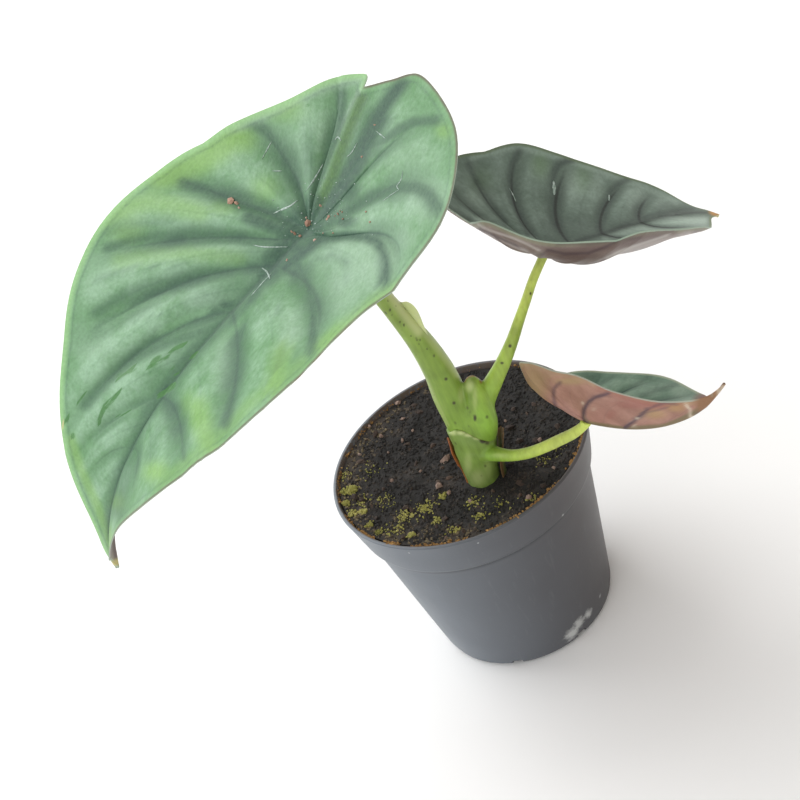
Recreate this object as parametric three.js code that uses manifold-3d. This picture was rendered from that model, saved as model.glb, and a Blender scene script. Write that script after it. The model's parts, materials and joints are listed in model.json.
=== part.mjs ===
// Young alocasia with three quilted, shield-shaped leaves in a round nursery pot.
// Millimetres, +Z up. The origin is the centre of the pot's flat base.

import * as THREE from 'three';
import { mergeVertices } from 'three/addons/utils/BufferGeometryUtils.js';
import Module from 'manifold-3d';

const wasm = await Module();
wasm.setup();

const MERGE_DISTANCE = 1e-4;

// Pot: thin moulded wall with a stacking collar under the rim
const POT_HEIGHT = 50;
const RIM_RADIUS = 30;
const COLLAR_HEIGHT = 9.8;
const COLLAR_FOOT_RADIUS = 28;
const BODY_TOP_RADIUS = 27;
const BODY_FOOT_RADIUS = 21.5;
const FOOT_ROUND = 2.2;
const WALL = 1;
const FLOOR = 1.2;
const LIP_ROUND = 0.4;
const COLLAR_STEP = 0.4;
const BASE_CURVE = 0.2;
const POT_SIDES = 48;

// Drain slots cut up through the edge of the base
const SLOT_COUNT = 8;
const SLOT_WIDTH = 2.6;
const SLOT_HEIGHT = 1.9;
const SLOT_INNER_RADIUS = 15;

// Soil and the plain hole that the stem stands in
const CLEARANCE = 0.3;
const FACET_ALLOWANCE = 0.15;
const SOIL_TOP = 48.4;
const SOIL_RELIEF = 0.7;
const RELIEF_BIAS = 0.6;
const SOIL_RINGS = 8;
const SOIL_SIDES = 36;
const GRIT_COUNT = 18;
const GRIT_SIZE = [0.7, 1.3];
const GRIT_RADII = [7, 24];
const GRIT_SINK = 0.25;
const STEM_FOOT = [2.3, -10];
const HOLE_RADIUS = 4.4;
const HOLE_FLOOR = 24;
const HOLE_CUT = 40;

// Corm: the small tuber under the stem
const CORM_RADIUS = 3.4;
const CORM_HEIGHT = 9;

// Leaf blades
const BLADE_THICKNESS = 0.8;
const MIDRIB_DEPTH = 0.9;
const VEIN_DEPTH = 0.35;
const FAN_START = 0.42;
const MIDRIB_SPACING = 1.15;
const VEIN_ARCH = 0.12;
const ARCH_ONSET = 6;
const QUILT_ROUNDNESS = 0.8;
const QUILT_BALANCE = 0.45;
const QUILT_REACH = 0.94;
const QUILT_SPAN = 0.07;
const CALM_WIDTH = 6;
const STEPS_ACROSS = 9;
const STEPS_PER_BAY = 4;

// Stalk sections: sides round each ring, and rings from one station to the next
const STALK_SIDES = 12;
const STALK_RINGS = 3;

const COLOURS = {
  pot: '#62676d',
  soil: '#2f2c2a',
  corm: '#7a5c40',
  stalk: '#8db63c',
  stalkLight: '#a8ce55',
  drySheath: '#b0743f',
  oldSheath: '#5d6b34',
  bladeSilver: '#8fb98a',
  bladeGrey: '#647a68',
  bladeDark: '#5f7563',
};

// The large leaf, seen from above: outline points run from the notch behind the
// stalk to the drip tip, as [along the midrib, out from it]. Veins are given as
// [start, middle, end] places along that outline's spline.
const LARGE_LEAF = {
  attach: [-7.84, -14.33, 122.82],
  heading: 195.8,
  pitch: 16.3,
  roll: -20.35,
  length: 121,
  droop: 0.004,
  droopGrowth: 0.0001,
  backBend: 0.0069,
  twist: -10,
  sway: -0.326,
  swayBack: -0.55,
  swayTip: 0.331,
  curlGrowth: 0.097,
  riseGrowth: 1.2,
  quilting: 1.3,
  halves: [
    {
      side: 1,
      rise: 21.9,
      curl: 0.0018,
      outline: [
        [-28.4, 0], [-32.2, 6.4], [-35.2, 15.7], [-26.6, 34], [-12.3, 41.7], [3.8, 35.8],
        [29.2, 35.2], [49, 24.9], [65, 12.8], [78.5, 6.5], [83.5, 2.2], [88.9, 0],
      ],
      veins: [
        [0.2, 0.185, 0.155], [0.27, 0.225, 0.24], [0.42, 0.297, 0.345], [0.445, 0.37, 0.44],
        [0.5, 0.487, 0.51], [0.585, 0.58, 0.573], [0.725, 0.66, 0.61], [0.805, 0.74, 0.71],
        [0.87, 0.83, 0.81],
      ],
    },
    {
      side: -1,
      rise: 4,
      curl: -0.0014,
      outline: [
        [-28.4, 0], [-31, 1.2], [-26.6, 8.6], [-17.7, 16.4], [-4.1, 29.9], [10, 36.1],
        [30.2, 35.8], [52.3, 23.2], [66.8, 14.2], [77.8, 5], [85, 1.9], [88.9, 0],
      ],
      veins: [
        [0.16, 0.14, 0.17], [0.26, 0.3, 0.33], [0.42, 0.445, 0.46], [0.445, 0.52, 0.553],
        [0.5, 0.583, 0.615], [0.585, 0.648, 0.715], [0.725, 0.733, 0.745], [0.805, 0.77, 0.78],
        [0.87, 0.84, 0.85],
      ],
    },
  ],
};

const MIDDLE_VEINS = [
  [0.16, 0.17, 0.17], [0.27, 0.28, 0.295], [0.34, 0.36, 0.37], [0.43, 0.43, 0.475],
  [0.505, 0.54, 0.575], [0.61, 0.64, 0.675], [0.73, 0.715, 0.73], [0.84, 0.82, 0.82],
];

const MIDDLE_LEAF = {
  attach: [32.33, -15.67, 97.4],
  heading: 26.1,
  pitch: 24.9,
  roll: 27.2,
  length: 70.2,
  droop: -0.0079,
  droopGrowth: 0.0003,
  backBend: -0.033,
  twist: 7,
  sway: 0,
  swayBack: 0.473,
  swayTip: 0,
  curlGrowth: 0.2,
  riseGrowth: 0,
  quilting: 0.8,
  halves: [
    {
      side: 1,
      rise: -17.1,
      curl: 0.0405,
      outline: [
        [-16.5, 0], [-19.2, 3.6], [-18.4, 9.8], [-14, 16.8], [-5.4, 24.6], [7, 26.3],
        [17, 21.8], [28.2, 15.1], [39, 8.9], [44.3, 2.9], [48.4, 1.2], [51.6, 0],
      ],
      veins: MIDDLE_VEINS,
    },
    {
      side: -1,
      calm: 0.35,
      rise: 7.9,
      curl: 0.0609,
      outline: [
        [-16.5, 0], [-19, 3.5], [-20.6, 8.3], [-13.5, 12.8], [-4.4, 19.6], [5.7, 22],
        [17.2, 18.8], [29.1, 14.5], [38.4, 7.5], [44.6, 2.7], [48.4, 1.1], [51.6, 0],
      ],
      veins: MIDDLE_VEINS,
    },
  ],
};

const SMALL_VEINS = [
  [0.16, 0.17, 0.17], [0.27, 0.28, 0.3], [0.38, 0.39, 0.465], [0.44, 0.52, 0.6],
  [0.59, 0.665, 0.71], [0.72, 0.77, 0.8], [0.84, 0.86, 0.87],
];

const SMALL_LEAF = {
  attach: [25.66, -28.88, 65.56],
  heading: -59.2,
  pitch: -7.05,
  roll: -35,
  length: 58.4,
  droop: -0.0095,
  droopGrowth: -0.0002,
  backBend: -0.0257,
  twist: -2.2,
  sway: -0.204,
  swayBack: 0.021,
  swayTip: 0,
  curlGrowth: 0.17,
  riseGrowth: -0.625,
  quilting: 0.6,
  halves: [
    {
      side: 1,
      rise: 22.7,
      curl: 0.0057,
      outline: [
        [-13.7, 0], [-16, 2.5], [-16.1, 7.9], [-11.9, 12.9], [-3.8, 17], [5.1, 19.1],
        [14.5, 16.7], [24.1, 12.3], [31.6, 5.6], [36.6, 1.8], [40.3, 0.7], [43.4, 0],
      ],
      veins: SMALL_VEINS,
    },
    {
      side: -1,
      rise: 33.6,
      curl: 0.0143,
      outline: [
        [-13.7, 0], [-15.7, 2.6], [-15.2, 7.5], [-13.1, 13.6], [-4.1, 17.7], [5.3, 18.3],
        [15.4, 17.6], [23.4, 12], [31.5, 5.9], [37, 2.1], [40.6, 0.8], [43.4, 0],
      ],
      veins: SMALL_VEINS,
    },
  ],
};

// Stalks as [x, y, z, radius] from the soil up to the underside of each blade
const LARGE_STALK = [
  [2.2, -9.8, 34, 2.2], [2.4, -10.1, 46, 2.2], [3.1, -10.8, 52.6, 2.8], [3.5, -11.2, 57, 3.5],
  [3.9, -11.1, 61, 4.1], [3.5, -10.9, 66, 3.65], [3.3, -10.6, 72, 3.6], [3.3, -10.7, 79, 3.2],
  [2.4, -11.1, 87, 2.7], [0.7, -11.6, 95, 2.15], [-1.6, -12, 104.5, 1.75], [-4.3, -12.8, 112.9, 1.65],
  [-7.5, -13.6, 121.1, 1.6],
];
const MIDDLE_STALK = [
  [5, -12, 59.2, 3.2], [5.8, -12.1, 61.5, 3.3], [6.9, -12.1, 64.5, 3.1], [9.1, -12.1, 68.2, 2.5],
  [12.4, -13, 71.6, 1.86], [16.4, -14.3, 76.5, 1.48], [19.7, -15.3, 81.1, 1.2],
  [22.5, -15.9, 85.5, 1.03], [25, -16.3, 89.4, 0.96], [27.6, -16.5, 93.2, 0.93],
  [31.3, -15.5, 96.1, 0.9],
];
const SMALL_STALK = [
  [4.2, -12.8, 55.6, 1.9], [5.9, -15.3, 56.9, 1.5], [7.6, -17.7, 57.4, 1.31],
  [10.1, -19.9, 57.7, 1.25], [13.3, -22.2, 58.5, 1.24], [16.5, -24.2, 59.8, 1.23],
  [19.8, -25.9, 61.2, 1.22], [22.6, -27.6, 62.5, 1.15], [24.8, -29.2, 63.9, 0.9],
];

// Sheath of the small leaf around the foot of the stem
const FOOT_SHEATH = [
  [2.2, -9.8, 34.5, 3.3], [2.4, -10.1, 46, 3.3], [3.1, -10.8, 52.6, 3.95], [3.5, -11.2, 57, 4.7],
  [3.5, -11.2, 58.8, 4.8], [3.7, -11.2, 61, 4.85],
];

// Sheath wing on the right of the large stalk: [out from the stalk, height]
const WING_OUTLINE = [
  [0, 72], [3.2, 74], [3.6, 81], [4.1, 88], [4.8, 93.6], [4.6, 96.2], [3.7, 97.8], [2.5, 98.2],
  [2.1, 99.4], [1.6, 101.8], [0.9, 102], [0, 96],
];
const WING_THICKNESS = 1;
const WING_FOOT = [1.4, -11.3];
const WING_LEAN = -4.5;
const WING_TURN = -25;

// Dried remnants of older sheaths: thin shells hugging the foot sheath over a sector,
// with directions in degrees from +X
const REMNANT_THICKNESS = 0.8;
const REMNANTS = {
  left: { from: 145, to: 190, top: 60.5 },
  right: { from: -40, to: 22, top: 59.2 },
};
const REMNANT_FOOT = SOIL_TOP + SOIL_RELIEF;
const REMNANT_REACH = 12;

// Hood at the top of the middle stalk's sheath, in the fork
const HOOD = { centre: [7.9, -12.9, 69.6], size: [2.8, 2.2, 5.8], lean: 10 };

const radians = THREE.MathUtils.degToRad;

function seededRandom(seed) {
  let state = seed;
  return () => {
    state = (state * 1664525 + 1013904223) % 4294967296;
    return state / 4294967296;
  };
}

function toSolid(geometry) {
  const bare = geometry.clone();
  bare.deleteAttribute('normal');
  bare.deleteAttribute('uv');
  const merged = mergeVertices(bare, MERGE_DISTANCE);
  const vertProperties = Float32Array.from(merged.attributes.position.array);
  const triVerts = Uint32Array.from(merged.index.array);
  return new wasm.Manifold(new wasm.Mesh({ numProp: 3, vertProperties, triVerts }));
}

function toGeometry(solid) {
  const mesh = solid.getMesh();
  const geometry = new THREE.BufferGeometry();
  geometry.setAttribute('position', new THREE.BufferAttribute(mesh.vertProperties, 3));
  geometry.setIndex(new THREE.BufferAttribute(mesh.triVerts, 1));
  geometry.computeVertexNormals();
  return geometry;
}

function indexed(points, faces) {
  const geometry = new THREE.BufferGeometry();
  geometry.setFromPoints(points);
  geometry.setIndex(faces);
  geometry.computeVertexNormals();
  return geometry;
}

// A stalk: rings of points round a smooth centre line, closed at both ends
function stalkGeometry(stations, { grow = 0 } = {}) {
  const centres = stations.map(([x, y, z]) => new THREE.Vector3(x, y, z));
  const curve = new THREE.CatmullRomCurve3(centres, false, 'centripetal');
  const radii = new THREE.SplineCurve(stations.map(([, , , r], i) => new THREE.Vector2(i, r)));
  const rings = (stations.length - 1) * STALK_RINGS;
  const sides = STALK_SIDES;
  const frames = curve.computeFrenetFrames(rings, false);
  const points = [];
  for (let i = 0; i <= rings; i += 1) {
    const t = i / rings;
    const centre = curve.getPoint(t);
    const tangent = curve.getTangent(t);
    const across = frames.normals[i].clone().addScaledVector(tangent, -frames.normals[i].dot(tangent));
    across.normalize();
    const up = tangent.clone().cross(across);
    const radius = radii.getPoint(t).y + grow;
    for (let j = 0; j < sides; j += 1) {
      const angle = (2 * Math.PI * j) / sides;
      const point = centre.clone().addScaledVector(across, radius * Math.cos(angle));
      points.push(point.addScaledVector(up, radius * Math.sin(angle)));
    }
  }
  const faces = [];
  for (let i = 0; i < rings; i += 1) {
    for (let j = 0; j < sides; j += 1) {
      const a = i * sides + j;
      const b = i * sides + ((j + 1) % sides);
      faces.push(a, b, b + sides, a, b + sides, a + sides);
    }
  }
  const foot = points.length;
  points.push(curve.getPoint(0).addScaledVector(curve.getTangent(0), -grow));
  points.push(curve.getPoint(1).addScaledVector(curve.getTangent(1), grow));
  const last = rings * sides;
  for (let j = 0; j < sides; j += 1) {
    const next = (j + 1) % sides;
    faces.push(foot, next, j, foot + 1, last + j, last + next);
  }
  return indexed(points, faces);
}

// Leaf surface

function leafAxes(leaf) {
  const heading = radians(leaf.heading);
  const pitch = radians(leaf.pitch);
  const roll = radians(leaf.roll);
  const along = new THREE.Vector3(
    Math.cos(pitch) * Math.cos(heading),
    Math.cos(pitch) * Math.sin(heading),
    -Math.sin(pitch),
  );
  const level = new THREE.Vector3(-Math.sin(heading), Math.cos(heading), 0);
  const upright = along.clone().cross(level);
  const across = level.clone().multiplyScalar(Math.cos(roll)).addScaledVector(upright, Math.sin(roll));
  const normal = upright.clone().multiplyScalar(Math.cos(roll)).addScaledVector(level, -Math.sin(roll));
  return { along, across, normal };
}

// Bent midrib: how far along and how far down it is, a millimetres from the stalk
function midribPoint(leaf, a) {
  const steps = 24;
  let forward = 0;
  let down = 0;
  for (let i = 0; i < steps; i += 1) {
    const angle = midribAngle(leaf, (a * (i + 0.5)) / steps);
    forward += (Math.cos(angle) * a) / steps;
    down += (Math.sin(angle) * a) / steps;
  }
  return { forward, down };
}

function midribAngle(leaf, a) {
  return a >= 0 ? leaf.droop * a + leaf.droopGrowth * a * a : leaf.backBend * a;
}

// The flat leaf: rho runs from the midrib (0) to the margin (1), place along the outline
function flatPoint(leaf, outline, rho, place) {
  const edge = outline.getPoint(place);
  const run = Math.max(0, (place - FAN_START) / (1 - FAN_START));
  const root = new THREE.Vector2(outline.points.at(-1).x * run ** MIDRIB_SPACING, 0);
  const arch = edge.distanceTo(root) * VEIN_ARCH * Math.min(1, run * ARCH_ONSET);
  const bow = edge.clone().add(root).multiplyScalar(0.5);
  bow.x -= arch;
  const vein = new THREE.QuadraticBezierCurve(root, bow, edge);
  return vein.getPoint(rho);
}

// The bent leaf: each half rises from the midrib and curls towards its margin
function leafPoint(leaf, half, axes, flat) {
  const share = flat.x / leaf.length;
  const curl = half.curl * (1 + leaf.curlGrowth * share);
  const rise = radians(half.rise) * (1 + leaf.riseGrowth * share);
  const end = rise + curl * flat.y;
  const out = (half.side * (Math.sin(end) - Math.sin(rise))) / curl;
  const up = (Math.cos(rise) - Math.cos(end)) / curl;
  const twist = radians(leaf.twist) * share;
  let across = out * Math.cos(twist) - up * Math.sin(twist);
  const lift = out * Math.sin(twist) + up * Math.cos(twist);
  const ahead = Math.max(flat.x, 0);
  across += (leaf.sway * ahead ** 2) / leaf.length + (leaf.swayTip * ahead ** 3) / leaf.length ** 2;
  across += leaf.swayBack * Math.max(-flat.x, 0);
  const { forward, down } = midribPoint(leaf, flat.x);
  const angle = midribAngle(leaf, flat.x);
  return new THREE.Vector3(...leaf.attach)
    .addScaledVector(axes.along, forward + Math.sin(angle) * lift)
    .addScaledVector(axes.across, across)
    .addScaledVector(axes.normal, -down + Math.cos(angle) * lift);
}

// Place of mesh line v on the outline: veins are at whole numbers, bays between them
function placeAt(half, v, rho) {
  const veins = [[0, 0, 0], ...half.veins, [1, 1, 1]];
  const bay = Math.min(Math.floor(v), veins.length - 2);
  const at = ([start, middle, end]) => {
    const straight = THREE.MathUtils.lerp(start, end, rho);
    return straight + 4 * rho * (1 - rho) * (middle - (start + end) / 2);
  };
  return THREE.MathUtils.lerp(at(veins[bay]), at(veins[bay + 1]), v - bay);
}

// Height of the quilting: bays bulge up between sunken veins, less where they are narrow,
// and the bay behind the stalk is one bulge across both halves
function quiltAt(leaf, half, v, rho, flat, span) {
  const phase = v < 1 ? (v + 1) / 2 : v;
  const bulge = Math.abs(Math.sin(Math.PI * phase)) ** QUILT_ROUNDNESS - QUILT_BALANCE;
  const fade = Math.sin(Math.PI * QUILT_REACH * rho) ** QUILT_ROUNDNESS;
  const room = v < 1 ? 1 : Math.min(1, span / (QUILT_SPAN * leaf.length));
  const calm = THREE.MathUtils.lerp(1, half.calm ?? 1, Math.min(1, flat.y / CALM_WIDTH));
  return leaf.quilting * bulge * fade * room * calm;
}

// Thickness under the blade: the midrib and the veins stand out below
function ribAt(v, rho, bays) {
  const onVein = v % 1 === 0 ? VEIN_DEPTH * (1 - rho) : 0;
  const onMidrib = rho === 0 ? MIDRIB_DEPTH * (1 - v / bays) : 0;
  return Math.max(onVein, onMidrib);
}

function bladeGeometry(leaf) {
  const axes = leafAxes(leaf);
  const bays = leaf.halves[0].veins.length + 1;
  const columns = bays * STEPS_PER_BAY;
  const middle = [];
  const ribs = [];
  const lifts = [];
  const faces = [];
  const rims = [];
  const seen = new Map();
  const nodeFor = (half, outline, i, j) => {
    const rho = i / STEPS_ACROSS;
    const v = j / STEPS_PER_BAY;
    const flat = flatPoint(leaf, outline, rho, placeAt(half, v, rho));
    const key = [flat.x, half.side * flat.y].map((value) => Math.round(value * 1000)).join();
    if (!seen.has(key)) {
      seen.set(key, middle.length);
      middle.push(leafPoint(leaf, half, axes, flat));
      ribs.push(ribAt(v, rho, bays));
      const bay = Math.min(Math.floor(v), bays - 1);
      const low = flatPoint(leaf, outline, rho, placeAt(half, bay, rho));
      const high = flatPoint(leaf, outline, rho, placeAt(half, bay + 1, rho));
      lifts.push(quiltAt(leaf, half, v, rho, flat, low.distanceTo(high)));
    }
    return seen.get(key);
  };
  for (const half of leaf.halves) {
    const outline = new THREE.SplineCurve(half.outline.map((p) => new THREE.Vector2(...p)));
    const node = (i, j) => nodeFor(half, outline, i, j);
    const push = (a, b, c) => {
      if (a === b || b === c || c === a) return;
      faces.push(...(half.side > 0 ? [a, c, b] : [a, b, c]));
    };
    for (let j = 0; j < columns; j += 1) {
      for (let i = 0; i < STEPS_ACROSS; i += 1) {
        push(node(i, j), node(i + 1, j), node(i + 1, j + 1));
        push(node(i, j), node(i + 1, j + 1), node(i, j + 1));
      }
      const edge = [node(STEPS_ACROSS, j), node(STEPS_ACROSS, j + 1)];
      if (edge[0] !== edge[1]) rims.push(half.side > 0 ? [edge[1], edge[0]] : edge);
    }
  }
  const flatNormals = indexed(middle, faces).attributes.normal;
  const normal = (k) => new THREE.Vector3().fromBufferAttribute(flatNormals, k);
  const lifted = middle.map((p, k) => p.clone().addScaledVector(normal(k), lifts[k]));
  const normals = indexed(lifted, faces).attributes.normal;
  const offset = (distance) => lifted.map((p, k) => {
    const n = new THREE.Vector3().fromBufferAttribute(normals, k);
    return p.clone().addScaledVector(n, distance(k));
  });
  const top = offset(() => BLADE_THICKNESS / 2);
  const bottom = offset((k) => -BLADE_THICKNESS / 2 - ribs[k]);
  const count = middle.length;
  const shell = [...faces];
  for (let k = 0; k < faces.length; k += 3) {
    shell.push(faces[k] + count, faces[k + 2] + count, faces[k + 1] + count);
  }
  for (const [a, b] of rims) {
    shell.push(b, a, a + count, b, a + count, b + count);
  }
  return indexed([...top, ...bottom], shell);
}

// Pot

function potOutline() {
  const collarFoot = POT_HEIGHT - COLLAR_HEIGHT;
  const outline = new THREE.Path();
  outline.moveTo(0, 0);
  outline.lineTo(BODY_FOOT_RADIUS - FOOT_ROUND, 0);
  outline.quadraticCurveTo(BODY_FOOT_RADIUS - BASE_CURVE, 0, BODY_FOOT_RADIUS, FOOT_ROUND);
  outline.lineTo(BODY_TOP_RADIUS, collarFoot - COLLAR_STEP);
  outline.lineTo(COLLAR_FOOT_RADIUS, collarFoot);
  outline.lineTo(RIM_RADIUS, POT_HEIGHT - LIP_ROUND);
  outline.lineTo(RIM_RADIUS - LIP_ROUND, POT_HEIGHT);
  outline.lineTo(RIM_RADIUS - WALL, POT_HEIGHT);
  outline.lineTo(COLLAR_FOOT_RADIUS - WALL, collarFoot + WALL);
  outline.lineTo(BODY_TOP_RADIUS - WALL, collarFoot - COLLAR_STEP);
  outline.lineTo(BODY_FOOT_RADIUS - WALL, FLOOR + WALL);
  outline.lineTo(BODY_FOOT_RADIUS - 2 * WALL, FLOOR);
  outline.lineTo(0, FLOOR);
  return outline.getPoints(4);
}

function uprightLathe(points, sides) {
  const geometry = new THREE.LatheGeometry(points, sides);
  geometry.rotateX(Math.PI / 2);
  return geometry;
}

function potGeometry() {
  let pot = toSolid(uprightLathe(potOutline(), POT_SIDES));
  const reach = BODY_FOOT_RADIUS - SLOT_INNER_RADIUS + 3;
  for (let i = 0; i < SLOT_COUNT; i += 1) {
    const slot = new THREE.BoxGeometry(reach, SLOT_WIDTH, 2 * SLOT_HEIGHT);
    slot.translate(SLOT_INNER_RADIUS + reach / 2, 0, 0);
    slot.rotateZ((2 * Math.PI * (i + 0.5)) / SLOT_COUNT);
    pot = pot.subtract(toSolid(slot));
  }
  return toGeometry(pot);
}

// Soil

function soilRadiusAt(z) {
  const collarFoot = POT_HEIGHT - COLLAR_HEIGHT;
  const inset = WALL + CLEARANCE + FACET_ALLOWANCE;
  if (z >= collarFoot) {
    const share = (z - collarFoot) / COLLAR_HEIGHT;
    return THREE.MathUtils.lerp(COLLAR_FOOT_RADIUS, RIM_RADIUS, share) - inset;
  }
  return THREE.MathUtils.lerp(BODY_FOOT_RADIUS, BODY_TOP_RADIUS, z / collarFoot) - inset;
}

function soilGeometry() {
  const random = seededRandom(7);
  const floor = FLOOR + CLEARANCE;
  const collarFoot = POT_HEIGHT - COLLAR_HEIGHT;
  const wall = [
    [soilRadiusAt(0) - FLOOR, floor],
    [soilRadiusAt(floor), floor + FLOOR],
    [soilRadiusAt(collarFoot - WALL), collarFoot - WALL],
    [soilRadiusAt(collarFoot + WALL), collarFoot + 1.4 * WALL],
    [soilRadiusAt(SOIL_TOP), SOIL_TOP],
  ];
  const points = [];
  const ring = (radius, height) => {
    for (let j = 0; j < SOIL_SIDES; j += 1) {
      const angle = (2 * Math.PI * j) / SOIL_SIDES;
      points.push(new THREE.Vector3(radius * Math.cos(angle), radius * Math.sin(angle), height(angle)));
    }
  };
  for (const [radius, z] of wall) ring(radius, () => z);
  const outer = soilRadiusAt(SOIL_TOP);
  for (let i = 1; i < SOIL_RINGS; i += 1) {
    const radius = outer * (1 - i / SOIL_RINGS);
    ring(radius, () => SOIL_TOP + SOIL_RELIEF * (random() - RELIEF_BIAS));
  }
  const rings = wall.length + SOIL_RINGS - 1;
  const faces = [];
  for (let i = 0; i < rings - 1; i += 1) {
    for (let j = 0; j < SOIL_SIDES; j += 1) {
      const a = i * SOIL_SIDES + j;
      const b = i * SOIL_SIDES + ((j + 1) % SOIL_SIDES);
      faces.push(a, b, b + SOIL_SIDES, a, b + SOIL_SIDES, a + SOIL_SIDES);
    }
  }
  const bottom = points.length;
  points.push(new THREE.Vector3(0, 0, floor), new THREE.Vector3(0, 0, SOIL_TOP));
  const last = (rings - 1) * SOIL_SIDES;
  for (let j = 0; j < SOIL_SIDES; j += 1) {
    const next = (j + 1) % SOIL_SIDES;
    faces.push(bottom, next, j, bottom + 1, last + j, last + next);
  }
  let soil = toSolid(indexed(points, faces));
  for (let i = 0; i < GRIT_COUNT; i += 1) {
    const size = THREE.MathUtils.lerp(...GRIT_SIZE, random());
    const radius = THREE.MathUtils.lerp(...GRIT_RADII, Math.sqrt(random()));
    const angle = 2 * Math.PI * random();
    const grit = new THREE.IcosahedronGeometry(size, 0);
    grit.rotateX(random() * Math.PI);
    grit.translate(radius * Math.cos(angle), radius * Math.sin(angle), SOIL_TOP - GRIT_SINK);
    soil = soil.add(toSolid(grit));
  }
  const hole = new THREE.CylinderGeometry(HOLE_RADIUS, HOLE_RADIUS, HOLE_CUT, 24);
  hole.rotateX(Math.PI / 2);
  hole.translate(...STEM_FOOT, HOLE_FLOOR + HOLE_CUT / 2);
  return toGeometry(soil.subtract(toSolid(hole)));
}

// Corm

function cormGeometry() {
  const half = CORM_HEIGHT / 2;
  const outline = [[0, -half], [0.55, -0.85 * half], [0.9, -0.4 * half], [1, 0], [0.85, 0.55 * half],
    [0.5, 0.9 * half], [0, half]];
  const corm = uprightLathe(outline.map(([r, z]) => new THREE.Vector2(r * CORM_RADIUS, z)), 18);
  corm.translate(...STEM_FOOT, HOLE_FLOOR + CLEARANCE + half);
  return corm;
}

// Stalks

function wingGeometry() {
  const shape = new THREE.Shape(WING_OUTLINE.map((p) => new THREE.Vector2(...p)));
  const wing = new THREE.ExtrudeGeometry(shape, { depth: WING_THICKNESS, bevelEnabled: false });
  wing.translate(0, -WING_OUTLINE[0][1], -WING_THICKNESS / 2);
  wing.rotateX(Math.PI / 2);
  wing.rotateY(radians(WING_LEAN));
  wing.rotateZ(radians(WING_TURN));
  wing.translate(...WING_FOOT, WING_OUTLINE[0][1]);
  return wing;
}

function largeStalkGeometry() {
  return toGeometry(toSolid(stalkGeometry(LARGE_STALK)).add(toSolid(wingGeometry())));
}

function middleStalkGeometry() {
  const hood = new THREE.SphereGeometry(1, 12, 8);
  hood.rotateX(Math.PI / 2);
  hood.scale(...HOOD.size);
  hood.rotateY(radians(HOOD.lean));
  hood.translate(...HOOD.centre);
  let stalk = toSolid(stalkGeometry(MIDDLE_STALK)).add(toSolid(hood));
  for (const neighbour of [LARGE_STALK, FOOT_SHEATH, SMALL_STALK]) {
    stalk = stalk.subtract(toSolid(stalkGeometry(neighbour, { grow: CLEARANCE })));
  }
  return toGeometry(stalk.subtract(toSolid(wingGeometry())));
}

function smallStalkGeometry() {
  const sheath = toSolid(stalkGeometry(FOOT_SHEATH));
  const stalk = toSolid(stalkGeometry(SMALL_STALK));
  const core = toSolid(stalkGeometry(LARGE_STALK, { grow: CLEARANCE }));
  return toGeometry(sheath.add(stalk).subtract(core));
}

function remnantGeometry({ from, to, top }) {
  const outer = toSolid(stalkGeometry(FOOT_SHEATH, { grow: CLEARANCE + REMNANT_THICKNESS }));
  const inner = toSolid(stalkGeometry(FOOT_SHEATH, { grow: CLEARANCE }));
  const stalk = toSolid(stalkGeometry(SMALL_STALK, { grow: CLEARANCE }));
  const sector = new THREE.Shape();
  sector.moveTo(0, 0);
  sector.lineTo(REMNANT_REACH * Math.cos(radians(from)), REMNANT_REACH * Math.sin(radians(from)));
  sector.absarc(0, 0, REMNANT_REACH, radians(from), radians(to), false);
  sector.closePath();
  const height = top - REMNANT_FOOT;
  const keep = new THREE.ExtrudeGeometry(sector, { depth: height, bevelEnabled: false, curveSegments: 6 });
  keep.translate(FOOT_SHEATH[2][0], FOOT_SHEATH[2][1], REMNANT_FOOT);
  return toGeometry(outer.subtract(inner).subtract(stalk).intersect(toSolid(keep)));
}

const group = new THREE.Group();

function addPart(name, geometry, colour, roughness) {
  const material = new THREE.MeshStandardMaterial({ color: colour, roughness, metalness: 0 });
  const mesh = new THREE.Mesh(geometry, material);
  mesh.name = name;
  group.add(mesh);
}

addPart('pot', potGeometry(), COLOURS.pot, 0.5);
addPart('soil', soilGeometry(), COLOURS.soil, 0.95);
addPart('corm', cormGeometry(), COLOURS.corm, 0.9);
addPart('petiole_large', largeStalkGeometry(), COLOURS.stalk, 0.45);
addPart('petiole_middle', middleStalkGeometry(), COLOURS.stalk, 0.45);
addPart('petiole_small', smallStalkGeometry(), COLOURS.stalkLight, 0.45);
addPart('old_sheath_left', remnantGeometry(REMNANTS.left), COLOURS.drySheath, 0.8);
addPart('old_sheath_right', remnantGeometry(REMNANTS.right), COLOURS.oldSheath, 0.8);
addPart('blade_large', bladeGeometry(LARGE_LEAF), COLOURS.bladeSilver, 0.5);
addPart('blade_middle', bladeGeometry(MIDDLE_LEAF), COLOURS.bladeGrey, 0.5);
addPart('blade_small', bladeGeometry(SMALL_LEAF), COLOURS.bladeDark, 0.5);

export default group;
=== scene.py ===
# %% [markdown]
# # A young silver-leaved alocasia in its nursery pot
# An alocasia is an aroid that grows from a small corm. Each leaf is a shield on
# a long fleshy stalk, and every stalk clasps the next one with a sheath.
# This lesson opens the measured solids, then gives the pot, the soil, the
# stalks and the three leaves the shapes and finishes that the eye expects.

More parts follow.
